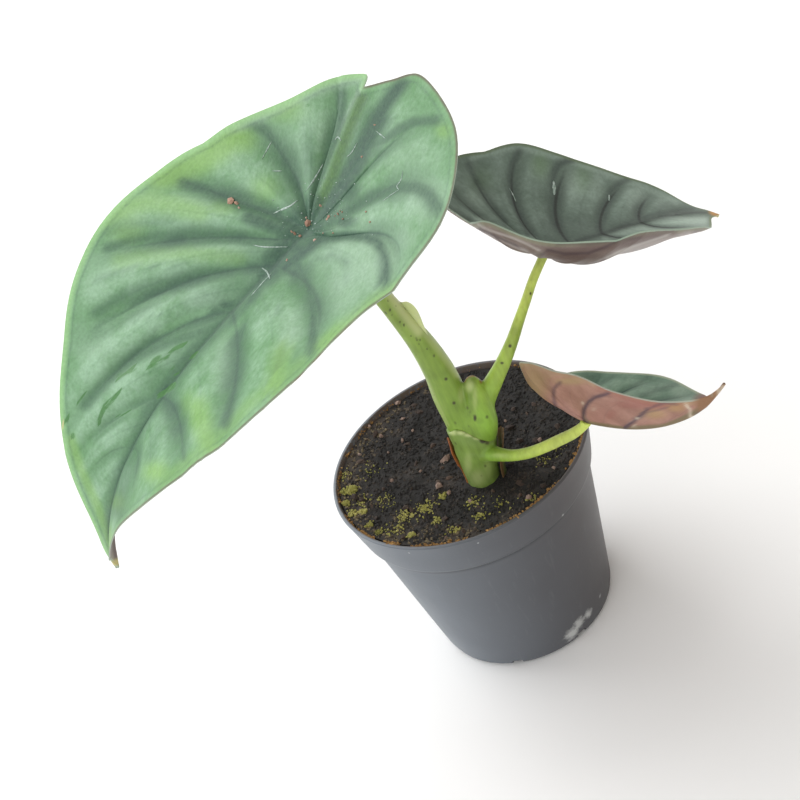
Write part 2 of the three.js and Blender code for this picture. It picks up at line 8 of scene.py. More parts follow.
# %% Open the measured solids
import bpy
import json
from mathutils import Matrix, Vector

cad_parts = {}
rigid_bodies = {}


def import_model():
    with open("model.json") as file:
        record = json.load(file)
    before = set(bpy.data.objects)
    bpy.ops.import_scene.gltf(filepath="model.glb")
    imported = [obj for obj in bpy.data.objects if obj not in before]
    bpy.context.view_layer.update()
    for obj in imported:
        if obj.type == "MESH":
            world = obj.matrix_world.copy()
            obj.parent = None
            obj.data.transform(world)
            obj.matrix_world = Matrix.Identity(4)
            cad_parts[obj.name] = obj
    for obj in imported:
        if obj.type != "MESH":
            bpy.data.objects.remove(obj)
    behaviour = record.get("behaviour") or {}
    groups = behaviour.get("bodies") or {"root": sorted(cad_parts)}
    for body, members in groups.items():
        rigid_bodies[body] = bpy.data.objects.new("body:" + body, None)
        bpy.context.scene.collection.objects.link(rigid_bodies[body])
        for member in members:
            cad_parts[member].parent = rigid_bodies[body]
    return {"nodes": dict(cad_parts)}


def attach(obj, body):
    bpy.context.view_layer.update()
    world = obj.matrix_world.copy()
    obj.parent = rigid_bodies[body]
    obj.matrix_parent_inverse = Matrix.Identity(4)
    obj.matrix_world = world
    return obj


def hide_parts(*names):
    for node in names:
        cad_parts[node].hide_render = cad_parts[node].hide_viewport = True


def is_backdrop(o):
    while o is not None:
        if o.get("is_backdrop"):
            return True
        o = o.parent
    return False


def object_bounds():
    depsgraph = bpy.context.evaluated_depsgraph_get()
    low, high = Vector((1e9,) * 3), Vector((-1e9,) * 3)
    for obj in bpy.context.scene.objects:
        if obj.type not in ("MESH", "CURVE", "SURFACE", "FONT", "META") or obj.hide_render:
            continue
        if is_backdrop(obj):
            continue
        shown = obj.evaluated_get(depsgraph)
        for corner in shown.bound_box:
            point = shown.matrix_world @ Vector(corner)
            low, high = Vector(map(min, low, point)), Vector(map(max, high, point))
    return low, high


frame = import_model()

cad_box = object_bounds()
print("solids:", sorted(frame["nodes"]))
print("box in metres:", cad_box)

# %% Tools for the whole lesson
import json
import math

import bpy
import numpy as np
from mathutils import Matrix, Vector

MM = 0.001
PLANT = "root"

# %% [markdown]
# ## Two small helpers for finishes
# Colours are easiest to read off as sRGB hex values, but shaders add up light,
# so one function makes each value linear. A second function adds a node, sets
# it and links it, so that a material reads from top to bottom like a recipe.
# Three sets of settings return often: a product of two values, a mix of two
# colours, and a soft start and end.

# %% Colours and nodes
TIMES = dict(operation="MULTIPLY")
COLOURS = dict(data_type="RGBA", out=2)
SOFT = dict(interpolation_type="SMOOTHSTEP")


def linear(colour):
    """The linear colour of an sRGB hex value."""
    parts = [int(colour[i:i + 2], 16) / 255 for i in (1, 3, 5)]
    return [p / 12.92 if p <= 0.04045 else ((p + 0.055) / 1.055) ** 2.4 for p in parts] + [1.0]


def put(tree, kind, inputs=None, out=0, ramp=None, **settings):
    """Adds a node with settings, values and links, and gives one output; a text value is a colour."""
    node = tree.nodes.new("ShaderNode" + kind)
    for name, value in settings.items():
        setattr(node, name, value)
    for name, value in (inputs or {}).items():
        if isinstance(value, bpy.types.NodeSocket):
            tree.links.new(value, node.inputs[name])
        else:
            node.inputs[name].default_value = linear(value) if isinstance(value, str) else value
    for step, (place, colour) in enumerate(ramp or []):
        stops = node.color_ramp.elements
        stop = stops[step] if step < 2 else stops.new(place)
        stop.position = place
        stop.color = linear(colour)
    return node.outputs[out] if node.outputs else node


def blank(name):
    """A new material without nodes, and its node tree."""
    material = bpy.data.materials.new(name)
    material.use_nodes = True
    material.node_tree.nodes.clear()
    return material, material.node_tree


# %% [markdown]
# ## The camera
# The plant was seen from above and in front, with the camera leaning to one
# side, so the upright pot looks tilted in the picture. The camera is aimed at a
# point over the pot and then rolled about its own line of sight.

# %% Place the camera
PICTURE = 800
FIELD_OF_VIEW = 30
CAMERA_PLACE = Vector((0, -261.329, 255.291)) * MM
SIGHT = Vector((-0.02111641, 0.81360987, -0.5810276))
CAMERA_ROLL = -25.853

camera = bpy.data.objects.new("camera", bpy.data.cameras.new("camera"))
bpy.context.scene.collection.objects.link(camera)
camera.data.angle = math.radians(FIELD_OF_VIEW)
camera.data.clip_start = 0.01
aim = SIGHT.to_track_quat("-Z", "Y").to_matrix() @ Matrix.Rotation(math.radians(CAMERA_ROLL), 3, "Z")
camera.matrix_world = Matrix.Translation(CAMERA_PLACE) @ aim.to_4x4()
bpy.context.scene.camera = camera
RIGHT, UP = aim.col[0].copy(), aim.col[1].copy()
FOCAL = PICTURE / 2 / math.tan(math.radians(FIELD_OF_VIEW / 2))
print("camera right", RIGHT, "up", UP)


def sight_of(x, y):
    """The direction from the camera through a pixel of the picture."""
    return (SIGHT + RIGHT * ((x - PICTURE / 2) / FOCAL) - UP * ((y - PICTURE / 2) / FOCAL)).normalized()


def pixels_of(points):
    """Where points, in metres, show in the picture."""
    rays = points - np.array(CAMERA_PLACE)
    depth = rays @ np.array(SIGHT)
    across = PICTURE / 2 + FOCAL * (rays @ np.array(RIGHT)) / depth
    return across, PICTURE / 2 - FOCAL * (rays @ np.array(UP)) / depth


def seen_on(piece, x, y):
    """The point of a piece under a pixel and the direction out of its surface."""
    hit, place, normal, _ = piece.ray_cast(CAMERA_PLACE, sight_of(x, y))
    if not hit:
        raise ValueError(f"nothing of {piece.name} under {x}, {y}")
    return place, normal if normal.dot(sight_of(x, y)) < 0 else -normal


# %% [markdown]
# ## Floor and light
# The room is bright and plain: a wide pale floor and a white surround that is
# brighter on the left, where the window is. Two broad soft lamps give open
# shadows, and the stronger one stands behind the plant on the left, where the
# pale sheen on the leaves and on the pot comes from.

# %% Floor
FLOOR_WIDTH = 6.0
bpy.ops.object.select_all(action="DESELECT")
bpy.ops.mesh.primitive_plane_add(size=FLOOR_WIDTH)
floor = bpy.context.object
floor.name = "floor"
floor_finish, tree = blank("painted_board")
position = put(tree, "TexCoord", out="Object")
mottle = put(tree, "TexNoise", {"Vector": position, "Scale": 3.0, "Detail": 2.0})
pale = put(tree, "ValToRGB", {"Fac": mottle}, ramp=[(0.3, "#F6F6F5"), (0.7, "#FBFBFA")])
board = put(tree, "BsdfPrincipled", {"Base Color": pale, "Roughness": 0.9})
put(tree, "OutputMaterial", {"Surface": board})
floor.data.materials.append(floor_finish)
floor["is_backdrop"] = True
print("floor:", FLOOR_WIDTH, "m wide")

# %% Surround and lamps
# Strength of the surround on the left and on the right
SURROUND = (1.12, 0.5)
LAMP_AIM = Vector((0, 0, 0.06))

world = bpy.data.worlds.new("white_room")
bpy.context.scene.world = world
world.use_nodes = True
tree = world.node_tree
tree.nodes.clear()
way = put(tree, "TexCoord", out="Generated")
from_left = put(tree, "SeparateXYZ", {0: way}, out="X")
across = {"Value": from_left, "From Min": -0.7, "From Max": 0.7}
strength = put(tree, "MapRange", {**across, "To Min": SURROUND[0], "To Max": SURROUND[1]})
walls = put(tree, "MapRange", across)
walls = put(tree, "Mix", {0: walls, 6: "#F8FBFF", 7: "#FFF8F0"}, **COLOURS)
sky = put(tree, "Background", {"Color": walls, "Strength": strength})
put(tree, "OutputWorld", {"Surface": sky})
bpy.context.scene.view_settings.view_transform = "Standard"


def soft_lamp(name, direction, distance, width, watts, colour):
    """A square lamp that shines on the plant from that direction, with its size and distance in metres."""
    lamp = bpy.data.objects.new(name, bpy.data.lights.new(name, "AREA"))
    bpy.context.scene.collection.objects.link(lamp)
    lamp.data.size = width
    lamp.data.energy = watts
    lamp.data.color = linear(colour)[:3]
    way = Vector(direction).normalized()
    lamp.location = way * distance + LAMP_AIM
    lamp.rotation_euler = (-way).to_track_quat("-Z", "Y").to_euler()


soft_lamp("window_lamp", (-0.42, 0.5, 0.77), 1.1, 0.9, 7.5, "#FFFFFF")
soft_lamp("front_lamp", (-0.3, -0.8, 0.5), 1.4, 1.2, 3.0, "#FFFBF5")
print("lamps:", [lamp.name for lamp in bpy.data.lights])

# %% [markdown]
# ## Shaping sheets and tubes
# A leaf, a stalk wall or a soil surface is a sheet that has been bent. Each is
# started as a flat grid, because its rows can follow the growth of the plant,
# and every point of the grid is then carried to its place by a rule.

# %% Grids that follow a rule
def deselect():
    """Leaves nothing selected."""
    bpy.ops.object.select_all(action="DESELECT")


def only(piece):
    """Leaves one piece selected and active."""
    deselect()
    piece.select_set(True)
    bpy.context.view_layer.objects.active = piece


def sheet(name, columns, rows, rule):
    """A grid whose points go to rule(u, v), in millimetres, with u and v from 0 to 1."""
    deselect()
    bpy.ops.mesh.primitive_grid_add(x_subdivisions=columns, y_subdivisions=rows, size=1)
    piece = bpy.context.object
    piece.name = piece.data.name = name
    flat = points_of(piece) + 0.5
    u = np.round(flat[:, 0] * columns) / columns
    v = np.round(flat[:, 1] * rows) / rows
    move_points(piece, rule(u, v) * MM)
    return piece, u, v


def tidy(piece, weld=1e-6, outward=True):
    """Merges points closer than weld, in metres, and turns the faces of a closed piece outwards."""
    only(piece)
    bpy.ops.object.mode_set(mode="EDIT")
    bpy.ops.mesh.select_all(action="SELECT")
    bpy.ops.mesh.remove_doubles(threshold=weld)
    if outward:
        bpy.ops.mesh.normals_make_consistent(inside=False)
    bpy.ops.mesh.select_all(action="DESELECT")
    bpy.ops.object.mode_set(mode="OBJECT")


def apply_modifier(piece, kind, **settings):
    """Adds a modifier and applies it."""
    only(piece)
    modifier = piece.modifiers.new(kind.lower(), kind)
    for name, value in settings.items():
        setattr(modifier, name, value)
    bpy.ops.object.modifier_apply(modifier=modifier.name)


def smooth(piece, angle):
    """Smooth shading that keeps the edges sharper than the angle."""
    only(piece)
    bpy.ops.object.shade_smooth_by_angle(angle=math.radians(angle))


def join(name, *pieces):
    """Makes one piece of several."""
    deselect()
    for piece in pieces:
        piece.select_set(True)
    bpy.context.view_layer.objects.active = pieces[0]
    bpy.ops.object.join()
    pieces[0].name = pieces[0].data.name = name
    return pieces[0]


# %% Points, materials and slots
def note(piece, name, values):
    """Writes a number, or a place, on each point for the materials to read."""
    values = np.asarray(values, dtype=np.float32)
    kind, field = ("FLOAT", "value") if values.ndim == 1 else ("FLOAT_VECTOR", "vector")
    piece.data.attributes.new(name, kind, "POINT")
    piece.data.attributes[name].data.foreach_set(field, values.ravel())


def points_of(piece):
    """The points of a piece, in metres."""
    found = np.empty(len(piece.data.vertices) * 3, dtype=np.float32)
    piece.data.vertices.foreach_get("co", found)
    return found.reshape(-1, 3).astype(float)


def move_points(piece, points):
    """Puts the points of a piece in new places, in metres."""
    piece.data.vertices.foreach_set("co", points.astype(np.float32).ravel())
    piece.data.update()


def dress(piece, *materials):
    """Gives a piece its materials, in place of any that it had."""
    piece.data.materials.clear()
    for material in materials:
        piece.data.materials.append(material)


def settle(piece, slot, *nodes):
    """Fixes a finished piece to the plant, in place of the solids it stands for."""
    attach(piece, PLANT)
    if nodes:
        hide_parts(*nodes)
    print(piece.name, len(piece.data.polygons), "faces")


# %% [markdown]
# ## The pot
# A 6 cm nursery pot is polypropylene, moulded about 1 mm thick, with a flared
# collar that lets pots stack and slots at the foot for water. It is round, so
# half of its section is drawn once and spun, which keeps the wall even.

# %% Spin the pot
POT_PROFILE = [
    (0, 0.5), (13, 0.5), (14.5, 0), (18.6, 0), (20.2, 0.25), (21.2, 1), (21.55, 2.3),
    (22.4, 8), (24.8, 24.6), (26.6, 37.2), (26.97, 39.5), (27.1, 39.85), (27.65, 40.05),
    (28.0, 40.4), (28.15, 41), (29, 45.2), (29.8, 49.1), (29.95, 49.6), (29.85, 49.9),
    (29.55, 50), (29.2, 49.92), (29, 49.6), (28.2, 45.3), (27.2, 41.2), (26.4, 39.9),
    (25.9, 38.6), (23.6, 23), (21, 5), (20.2, 2.4), (19.2, 1.5), (0, 1.4),
]
POT_SIDES = 144

deselect()
bpy.ops.mesh.primitive_circle_add(vertices=3, radius=0.001)
pot = bpy.context.object
pot.name = pot.data.name = "pot_wall"
profile = [(r * MM, 0, z * MM) for r, z in POT_PROFILE]
pot.data.clear_geometry()
pot.data.from_pydata(profile, [(i, i + 1) for i in range(len(profile) - 1)], [])
bpy.ops.object.mode_set(mode="EDIT")
bpy.ops.mesh.select_all(action="SELECT")
bpy.ops.mesh.spin(steps=POT_SIDES, angle=math.tau, center=(0, 0, 0), axis=(0, 0, 1))
bpy.ops.object.mode_set(mode="OBJECT")
tidy(pot)
print("pot wall:", len(pot.data.vertices), "points")

# %% [markdown]
# The slots are cut up through the edge of the foot. Eight boxes are turned into
# a ring and taken away in one boolean step, which leaves crisp edges as the
# mould does.

# %% Cut the drain slots
SLOTS = 8
SLOT_WIDTH = 2.6
SLOT_HEIGHT = 1.9
SLOT_FROM = 15.0
SLOT_REACH = 9.5

cutters = []
for i in range(SLOTS):
    turn = Matrix.Rotation(math.tau * (i + 0.5) / SLOTS, 4, "Z")
    deselect()
    bpy.ops.mesh.primitive_cube_add(size=1)
    cutter = bpy.context.object
    size = Matrix.Diagonal((SLOT_REACH * MM, SLOT_WIDTH * MM, 2 * SLOT_HEIGHT * MM, 1))
    shift = Matrix.Translation(((SLOT_FROM + SLOT_REACH / 2) * MM, 0, 0))
    cutter.data.transform(turn @ shift @ size)
    cutters.append(cutter)
slot_cutter = join("slot_cutter", *cutters)
apply_modifier(pot, "BOOLEAN", operation="DIFFERENCE", solver="EXACT", object=slot_cutter)
bpy.data.objects.remove(slot_cutter)
smooth(pot, 35)
print("pot with slots:", len(pot.data.polygons), "faces")

# %% [markdown]
# Moulded polypropylene in slate grey: an even, slightly waxy satin. Handling
# leaves faint upright scuffs, hard water leaves a chalky smudge low on the
# right, and a little peat dust stays inside under the rim.

# %% Pot finish
AWAY_FROM_WINDOW = (0.97, -0.245, 0)

plastic, tree = blank("moulded_polypropylene")
position = put(tree, "TexCoord", out="Object")
# Cloudy tone of the pigment, about 15 mm across
cloud = put(tree, "TexNoise", {"Vector": position, "Scale": 65.0, "Detail": 3.0})
# Painted light and shade: the side towards the window is painted paler, the other side darker and warmer, as
# painted shade with a warm reflection
facing = put(tree, "VectorMath", {0: position, 1: AWAY_FROM_WINDOW}, operation="DOT_PRODUCT", out="Value")
facing = put(tree, "MapRange", {"Value": facing, "From Min": -0.027, "From Max": 0.027,
                                "To Min": -0.08, "To Max": 0.92})
painted_light_tone = put(tree, "Math", {0: cloud, 1: 0.16, 2: facing}, operation="MULTIPLY_ADD")
colour = put(tree, "ValToRGB", {"Fac": painted_light_tone}, ramp=[
    (0.0, "#757D85"), (0.22, "#646B73"), (0.5, "#575B61"), (0.75, "#4D4E52"), (1.0, "#454141")])
# Upright scuffs: 1.2 mm wide and ten times as long
long_ways = put(tree, "Mapping", {"Vector": position, "Scale": (1.0, 1.0, 0.1)})
scuff = put(tree, "TexNoise", {"Vector": long_ways, "Scale": 800.0, "Detail": 2.0, "Roughness": 0.7})
scuffs = put(tree, "MapRange", {"Value": scuff, "From Min": 0.6, "From Max": 0.8})
faint = put(tree, "Math", {0: scuffs, 1: 0.07}, **TIMES)
colour = put(tree, "Mix", {0: faint, 6: colour, 7: "#9AA0A6"}, **COLOURS)

# %% Chalk, painted shadow and dust on the pot
# Chalky smudges where they were seen: [x, y, reach in mm, strength]
SMUDGES = [(572, 634, 3.6, 1.0), (579, 623, 3.2, 0.9), (588, 614, 2.6, 0.9), (563, 515, 0.7, 0.8),
           (409, 553, 0.5, 0.9), (478, 543, 0.4, 0.8), (600, 596, 1.0, 0.6)]
grain = put(tree, "TexNoise", {"Vector": position, "Scale": 900.0, "Detail": 4.0, "Roughness": 0.75})
for x, y, reach, strength in SMUDGES:
    place, _ = seen_on(pot, x, y)
    away = put(tree, "VectorMath", {0: position, 1: place}, operation="DISTANCE", out="Value")
    near = put(tree, "MapRange", {"Value": away, "From Min": reach * MM, "From Max": 0.0})
    ragged = put(tree, "Math", {0: near, 1: grain}, operation="ADD")
    chalk = put(tree, "MapRange", {"Value": ragged, "From Min": 0.85, "From Max": 1.3,
                                   "To Max": 0.75 * strength})
    colour = put(tree, "Mix", {0: chalk, 6: colour, 7: "#C9CBC9"}, **COLOURS)
# Painted shadow under the collar: the wall is darkened about 2 mm down
heights = put(tree, "SeparateXYZ", {0: position}, out="Z")
collar_shadow_top = put(tree, "MapRange", {"Value": heights, "From Min": 0.0404, "From Max": 0.0399})
collar_shadow = put(tree, "MapRange", {"Value": heights, "From Min": 0.0382, "From Max": 0.0396,
                               "To Max": 0.75}, **SOFT)
collar_shadow = put(tree, "Math", {0: collar_shadow, 1: collar_shadow_top}, **TIMES)
colour = put(tree, "Mix", {0: collar_shadow, 6: colour, 7: "#2C2F33"}, **COLOURS)
# Peat dust on the inside under the rim
radius = put(tree, "VectorMath", {0: position, 1: (1, 1, 0)}, **TIMES)
radius = put(tree, "VectorMath", {0: radius}, operation="LENGTH", out="Value")
lean = put(tree, "Math", {0: heights, 1: 0.204, 2: 0.0193}, operation="MULTIPLY_ADD")
inside = put(tree, "Math", {0: lean, 1: radius}, operation="SUBTRACT")
inside = put(tree, "MapRange", {"Value": inside, "From Min": 0.0, "From Max": 0.0003})
above = put(tree, "Math", {0: heights, 1: 0.044}, operation="GREATER_THAN")
inside = put(tree, "Math", {0: inside, 1: above}, **TIMES)
dusty = put(tree, "MapRange", {"Value": grain, "From Min": 0.32, "From Max": 0.52, "To Max": 0.9})
dust = put(tree, "Math", {0: inside, 1: dusty}, **TIMES)
colour = put(tree, "Mix", {0: dust, 6: colour, 7: "#5A4A3C"}, **COLOURS)
rough = put(tree, "MapRange", {"Value": cloud, "To Min": 0.36, "To Max": 0.5})
# Fine moulding texture, 0.4 mm across
skin = put(tree, "TexNoise", {"Vector": position, "Scale": 2500.0, "Detail": 2.0})
bump = put(tree, "Bump", {"Height": skin, "Strength": 0.25, "Distance": 0.00005})
shell = put(tree, "BsdfPrincipled", {"Base Color": colour, "Roughness": rough, "IOR": 1.49, "Normal": bump})
put(tree, "OutputMaterial", {"Surface": shell})
dress(pot, plastic)
settle(pot, "pot_plastic", "pot")

# %% [markdown]
# ## Potting soil
# Peat and fine bark, with pinkish perlite, a green film of algae and moss, and
# a rusty crust where water dries against the rim. The body is one sheet, from
# the middle out to the wall and down; the crumbs are small stones made from one
# shape, each with its own turn and dents.

# %% Soil body
SOIL_TOP = 48.2
SOIL_WALL = 28.55
# Down the pot: where the soil's side starts and how far it goes down
SIDE_TOP = 45
SIDE_DEPTH = 40
# Its radius in the collar, and the radius and flare under the collar
COLLAR_FOOT = 41
COLLAR_RADIUS = 26.6
BASE_RADIUS = 20.6
FLARE = 0.13
STEM_FOOT = np.array([2.6, -10.3])
RANDOM = np.random.default_rng(7)


def lumps(x, y, size, seed):
    """Smooth random heights between -1 and 1, about that many millimetres across."""
    draw = np.random.default_rng(seed)
    total = np.zeros_like(x)
    for _ in range(24):
        way = draw.uniform(0, math.tau)
        pace = math.tau / size * draw.uniform(0.6, 1.6)
        total += np.sin(pace * (x * math.cos(way) + y * math.sin(way)) + draw.uniform(0, math.tau))
    return total / 6


def soil_height(x, y):
    """Height of the soil, in millimetres: up to the lip in front, lower at the back."""
    # A low heap round the stem, a rise along the wall, and lumps 9 mm and 2.6 mm across
    out = np.hypot(x, y) / SOIL_WALL
    heap = 0.5 * np.exp(-np.hypot(x - STEM_FOOT[0], y - STEM_FOOT[1]) ** 2 / 30)
    rim = np.minimum(1.4, 1.2 - 0.022 * y) * out ** 5
    broad = 0.3 * lumps(x, y, 9, 3) * (1 - out ** 8)
    return SOIL_TOP - 0.2 + rim + heap + broad + 0.12 * lumps(x, y, 2.6, 4)


def soil_rule(u, v):
    """Rings from the middle to the wall, then down the wall and in under the soil."""
    way = u * math.tau
    ring = np.minimum(v / 0.8, 1) ** 0.8
    radius = ring * SOIL_WALL
    below = np.clip((v - 0.8) / 0.2, 0, 1)
    x, y = radius * np.cos(way), radius * np.sin(way)
    z = soil_height(x, y)
    lower = SIDE_TOP - SIDE_DEPTH * np.clip(below * 1.25 - 0.25, 0, 1)
    side = np.where(lower < COLLAR_FOOT, BASE_RADIUS + lower * FLARE, COLLAR_RADIUS)
    radius = np.where(below > 0, side, radius)
    radius = np.where(below >= 1, 0, radius)
    z = np.where(below > 0, lower, z)
    return np.stack([radius * np.cos(way), radius * np.sin(way), z], axis=-1)


soil, _, _ = sheet("soil_body", 180, 75, soil_rule)
tidy(soil, 2e-5)
smooth(soil, 60)
print("soil body:", len(soil.data.polygons), "faces")

# %% Crumbs of peat, bark and perlite
def stones(name, places, sizes, stretch, dent=0.22, paler=1):
    """Small stones at places, in millimetres, all from one shape and joined, each with its own tone."""
    count = len(places)
    tones = RANDOM.uniform(0, 1, count) * paler
    deselect()
    bpy.ops.mesh.primitive_ico_sphere_add(subdivisions=1, radius=1)
    piece = bpy.context.object
    piece.name = piece.data.name = name
    shape = points_of(piece)
    corners = np.array([list(face.vertices) for face in piece.data.polygons])
    dents = 1 + RANDOM.uniform(-dent, dent, (count, len(shape), 1))
    reach = RANDOM.uniform(*stretch, (count, 1, 3)) * np.reshape(sizes, (count, 1, 1))
    turns, _ = np.linalg.qr(RANDOM.normal(size=(count, 3, 3)))
    turns[np.linalg.det(turns) < 0] *= -1
    all_points = np.einsum("nij,nkj->nki", turns, shape[None] * dents * reach) + places[:, None, :]
    all_points = all_points.reshape(-1, 3) * MM
    all_corners = corners[None] + (np.arange(count) * len(shape))[:, None, None]
    piece.data.clear_geometry()
    piece.data.from_pydata(all_points.tolist(), [], all_corners.reshape(-1, 3).tolist())
    note(piece, "tone", np.repeat(tones, len(shape)))
    return piece


def on_soil(count, low, high):
    """Random places on the soil, in millimetres, between two radii."""
    radius = np.sqrt(RANDOM.uniform(low ** 2, high ** 2, count))
    way = np.radians(RANDOM.uniform(0, 360, count))
    x, y = radius * np.cos(way), radius * np.sin(way)
    return np.stack([x, y, soil_height(x, y)], axis=-1)


def dryness(x, y):
    """How dry the soil is: most along the wall on the window side."""
    return np.clip((np.hypot(x, y) - 19) / 8, 0, 1) * np.clip(0.35 - x / 22, 0, 1)


def clear_of_stem(places, reach):
    """Only the places outside the foot of the stem."""
    return places[np.hypot(places[:, 0] - STEM_FOOT[0], places[:, 1] - STEM_FOOT[1]) > reach]


PEAT_CRUMBS = 6500
BARK_CHIPS = 70

peat_places = clear_of_stem(on_soil(PEAT_CRUMBS, 0, 28.2), 4.2)
peat = stones("peat_crumbs", peat_places - [0, 0, 0.05], RANDOM.uniform(0.16, 0.42, len(peat_places)),
              stretch=(0.5, 1.5), dent=0.35, paler=1 + 2.2 * dryness(*peat_places[:, :2].T))
bark_places = clear_of_stem(on_soil(BARK_CHIPS, 3, 27), 6)
bark = stones("bark_chips", bark_places, RANDOM.uniform(0.5, 0.95, len(bark_places)),
              stretch=(0.4, 1.5), dent=0.35)
print("crumbs:", len(peat_places), "chips:", len(bark_places))

# %% [markdown]
# Soil colours: wet peat is nearly black with brown fibres, bark chips are dark
# brown, and perlite shows as dull pink-white grains. Peat has no shine, apart
# from a damp glint on a few crumbs.

# %% Soil finishes
def earth(name, ramp, rough, fleck, seed):
    """A crumbly finish: a tone for each crumb, finer grain over it, and light flecks."""
    material, tree = blank(name)
    position = put(tree, "TexCoord", out="Object")
    tone = put(tree, "Attribute", attribute_name="tone", out="Fac")
    # Grain 0.5 mm across, within the crumbs
    grain = put(tree, "TexNoise", {"Vector": position, "Scale": 2000.0, "Detail": 4.0, "Roughness": 0.7})
    # Damp and drier patches 5 mm across
    patch = put(tree, "TexNoise", {"Vector": position, "Scale": 190.0 + seed, "Detail": 3.0})
    patch = put(tree, "MapRange", {"Value": patch, "From Min": 0.35, "From Max": 0.65})
    mixed = put(tree, "Math", {0: tone, 1: 0.6, 2: grain}, operation="MULTIPLY_ADD")
    mixed = put(tree, "Math", {0: patch, 1: 0.7, 2: mixed}, operation="MULTIPLY_ADD")
    mixed = put(tree, "Math", {0: mixed, 1: 0.48}, **TIMES)
    colour = put(tree, "ValToRGB", {"Fac": mixed}, ramp=ramp)
    light = put(tree, "MapRange", {"Value": grain, "From Min": 0.62, "From Max": 0.72, "To Max": 0.6})
    colour = put(tree, "Mix", {0: light, 6: colour, 7: fleck}, **COLOURS)
    bump = put(tree, "Bump", {"Height": grain, "Strength": 0.8, "Distance": 0.0003})
    surface = put(tree, "BsdfPrincipled", {"Base Color": colour, "Roughness": rough, "Normal": bump})
    put(tree, "OutputMaterial", {"Surface": surface})
    return material


peat_finish = earth("damp_peat", [(0.25, "#181715"), (0.6, "#282624"), (0.9, "#4C433A"), (1.0, "#75694F")],
                    0.85, "#6E5E50", 3)
bark_finish = earth("bark_chip", [(0.2, "#2A221D"), (0.6, "#453830"), (0.95, "#6B5546")], 0.8, "#8B7360", 9)
dress(soil, peat_finish)
dress(peat, peat_finish)
dress(bark, bark_finish)
ground = points_of(soil) / MM
note(soil, "tone", 0.3 + 0.5 * dryness(*ground[:, :2].T))
print("top of the soil at", ground[:, 2].max().round(2), "mm")

# %% Find the soil under a pixel
SEEN_HEIGHT = 48.6


def under(x, y):
    """Where the line of sight through a pixel meets the top of the soil, in millimetres."""
    way = sight_of(x, y)
    place = CAMERA_PLACE + way * ((SEEN_HEIGHT * MM - CAMERA_PLACE.z) / way.z)
    return np.array([place.x, place.y]) / MM


# %% Perlite grains
PERLITE = [
    (398, 404, 0.85), (403, 419, 0.7), (381, 436, 0.6), (370, 428, 0.5), (402, 440, 0.6), (445, 459, 1.35),
    (439, 486, 0.8), (449, 492, 0.5), (388, 452, 0.35), (420, 470, 0.4), (412, 430, 0.35), (360, 455, 0.4),
    (540, 440, 0.5), (530, 500, 0.55), (505, 420, 0.4), (555, 470, 0.45), (470, 500, 0.45), (392, 480, 0.4),
]
perlite_spots = np.array([under(x, y) for x, y, _ in PERLITE])
perlite_places = np.column_stack([perlite_spots, soil_height(*perlite_spots.T) + 0.3])
perlite_sizes = np.array([size for _, _, size in PERLITE])
perlite = stones("perlite_grains", perlite_places, perlite_sizes, stretch=(0.6, 1.3), dent=0.3)
dress(perlite, earth("perlite", [(0.2, "#7A635A"), (0.6, "#9C8578"), (0.95, "#C2AFA2")], 0.9, "#D6CAC0", 5))
print("perlite grains:", len(PERLITE))

# %% Moss
# Cushions: [x, y, spread in mm, tufts, smallest and largest tuft in mm]
MOSS = [
    (341, 468, 0.7, 44, 0.2, 0.4), (352, 491, 1.2, 110, 0.22, 0.45), (346, 506, 0.8, 60, 0.2, 0.4),
    (363, 513, 0.9, 60, 0.2, 0.4), (370, 526, 0.7, 40, 0.2, 0.4), (412, 536, 0.7, 50, 0.2, 0.4),
    (424, 507, 2.6, 150, 0.1, 0.28), (442, 495, 0.8, 40, 0.15, 0.35), (404, 515, 2.2, 110, 0.1, 0.26),
    (385, 500, 2.2, 50, 0.1, 0.24), (437, 520, 1.4, 40, 0.12, 0.3), (472, 500, 1.6, 50, 0.12, 0.3),
    (480, 516, 1.6, 50, 0.12, 0.3), (395, 530, 2.0, 60, 0.1, 0.28), (500, 505, 2.4, 40, 0.1, 0.24),
    (560, 440, 1.4, 14, 0.1, 0.24), (556, 446, 2.2, 50, 0.1, 0.26), (543, 458, 2.0, 40, 0.1, 0.24),
    (454, 530, 1.4, 40, 0.12, 0.3), (532, 500, 1.2, 40, 0.12, 0.28), (372, 470, 3.0, 30, 0.1, 0.22),
    (349, 449, 1.6, 20, 0.1, 0.25), (338, 480, 0.9, 36, 0.15, 0.35), (343, 494, 0.9, 36, 0.15, 0.35),
    (352, 516, 1.2, 50, 0.15, 0.32), (360, 502, 2.0, 50, 0.1, 0.26), (338, 458, 0.8, 26, 0.14, 0.3),
    (379, 534, 1.0, 36, 0.12, 0.3), (346, 476, 1.8, 40, 0.1, 0.24),
]
MOSS_REACH = 28.4
MOSS_CLEAR = 4.4
moss_sizes = np.concatenate([RANDOM.uniform(low, high, tufts) for *_, tufts, low, high in MOSS])
moss_spots = np.vstack([under(x, y) + RANDOM.normal(size=(tufts, 2)) * spread * 0.55
                        for x, y, spread, tufts, _, _ in MOSS])
kept = (np.hypot(*moss_spots.T) < MOSS_REACH) & (np.hypot(*(moss_spots - STEM_FOOT).T) > MOSS_CLEAR)
moss_spots, moss_sizes = moss_spots[kept], moss_sizes[kept]
moss_places = np.column_stack([moss_spots, soil_height(*moss_spots.T) + moss_sizes * 0.6])
moss = stones("moss_tufts", moss_places, moss_sizes, stretch=(0.7, 1.2))
dress(moss, earth("moss", [(0.15, "#66662F"), (0.5, "#98964A"), (0.95, "#C4BC76")], 0.85, "#D8D290", 2))
print("tufts of moss:", len(moss_places))

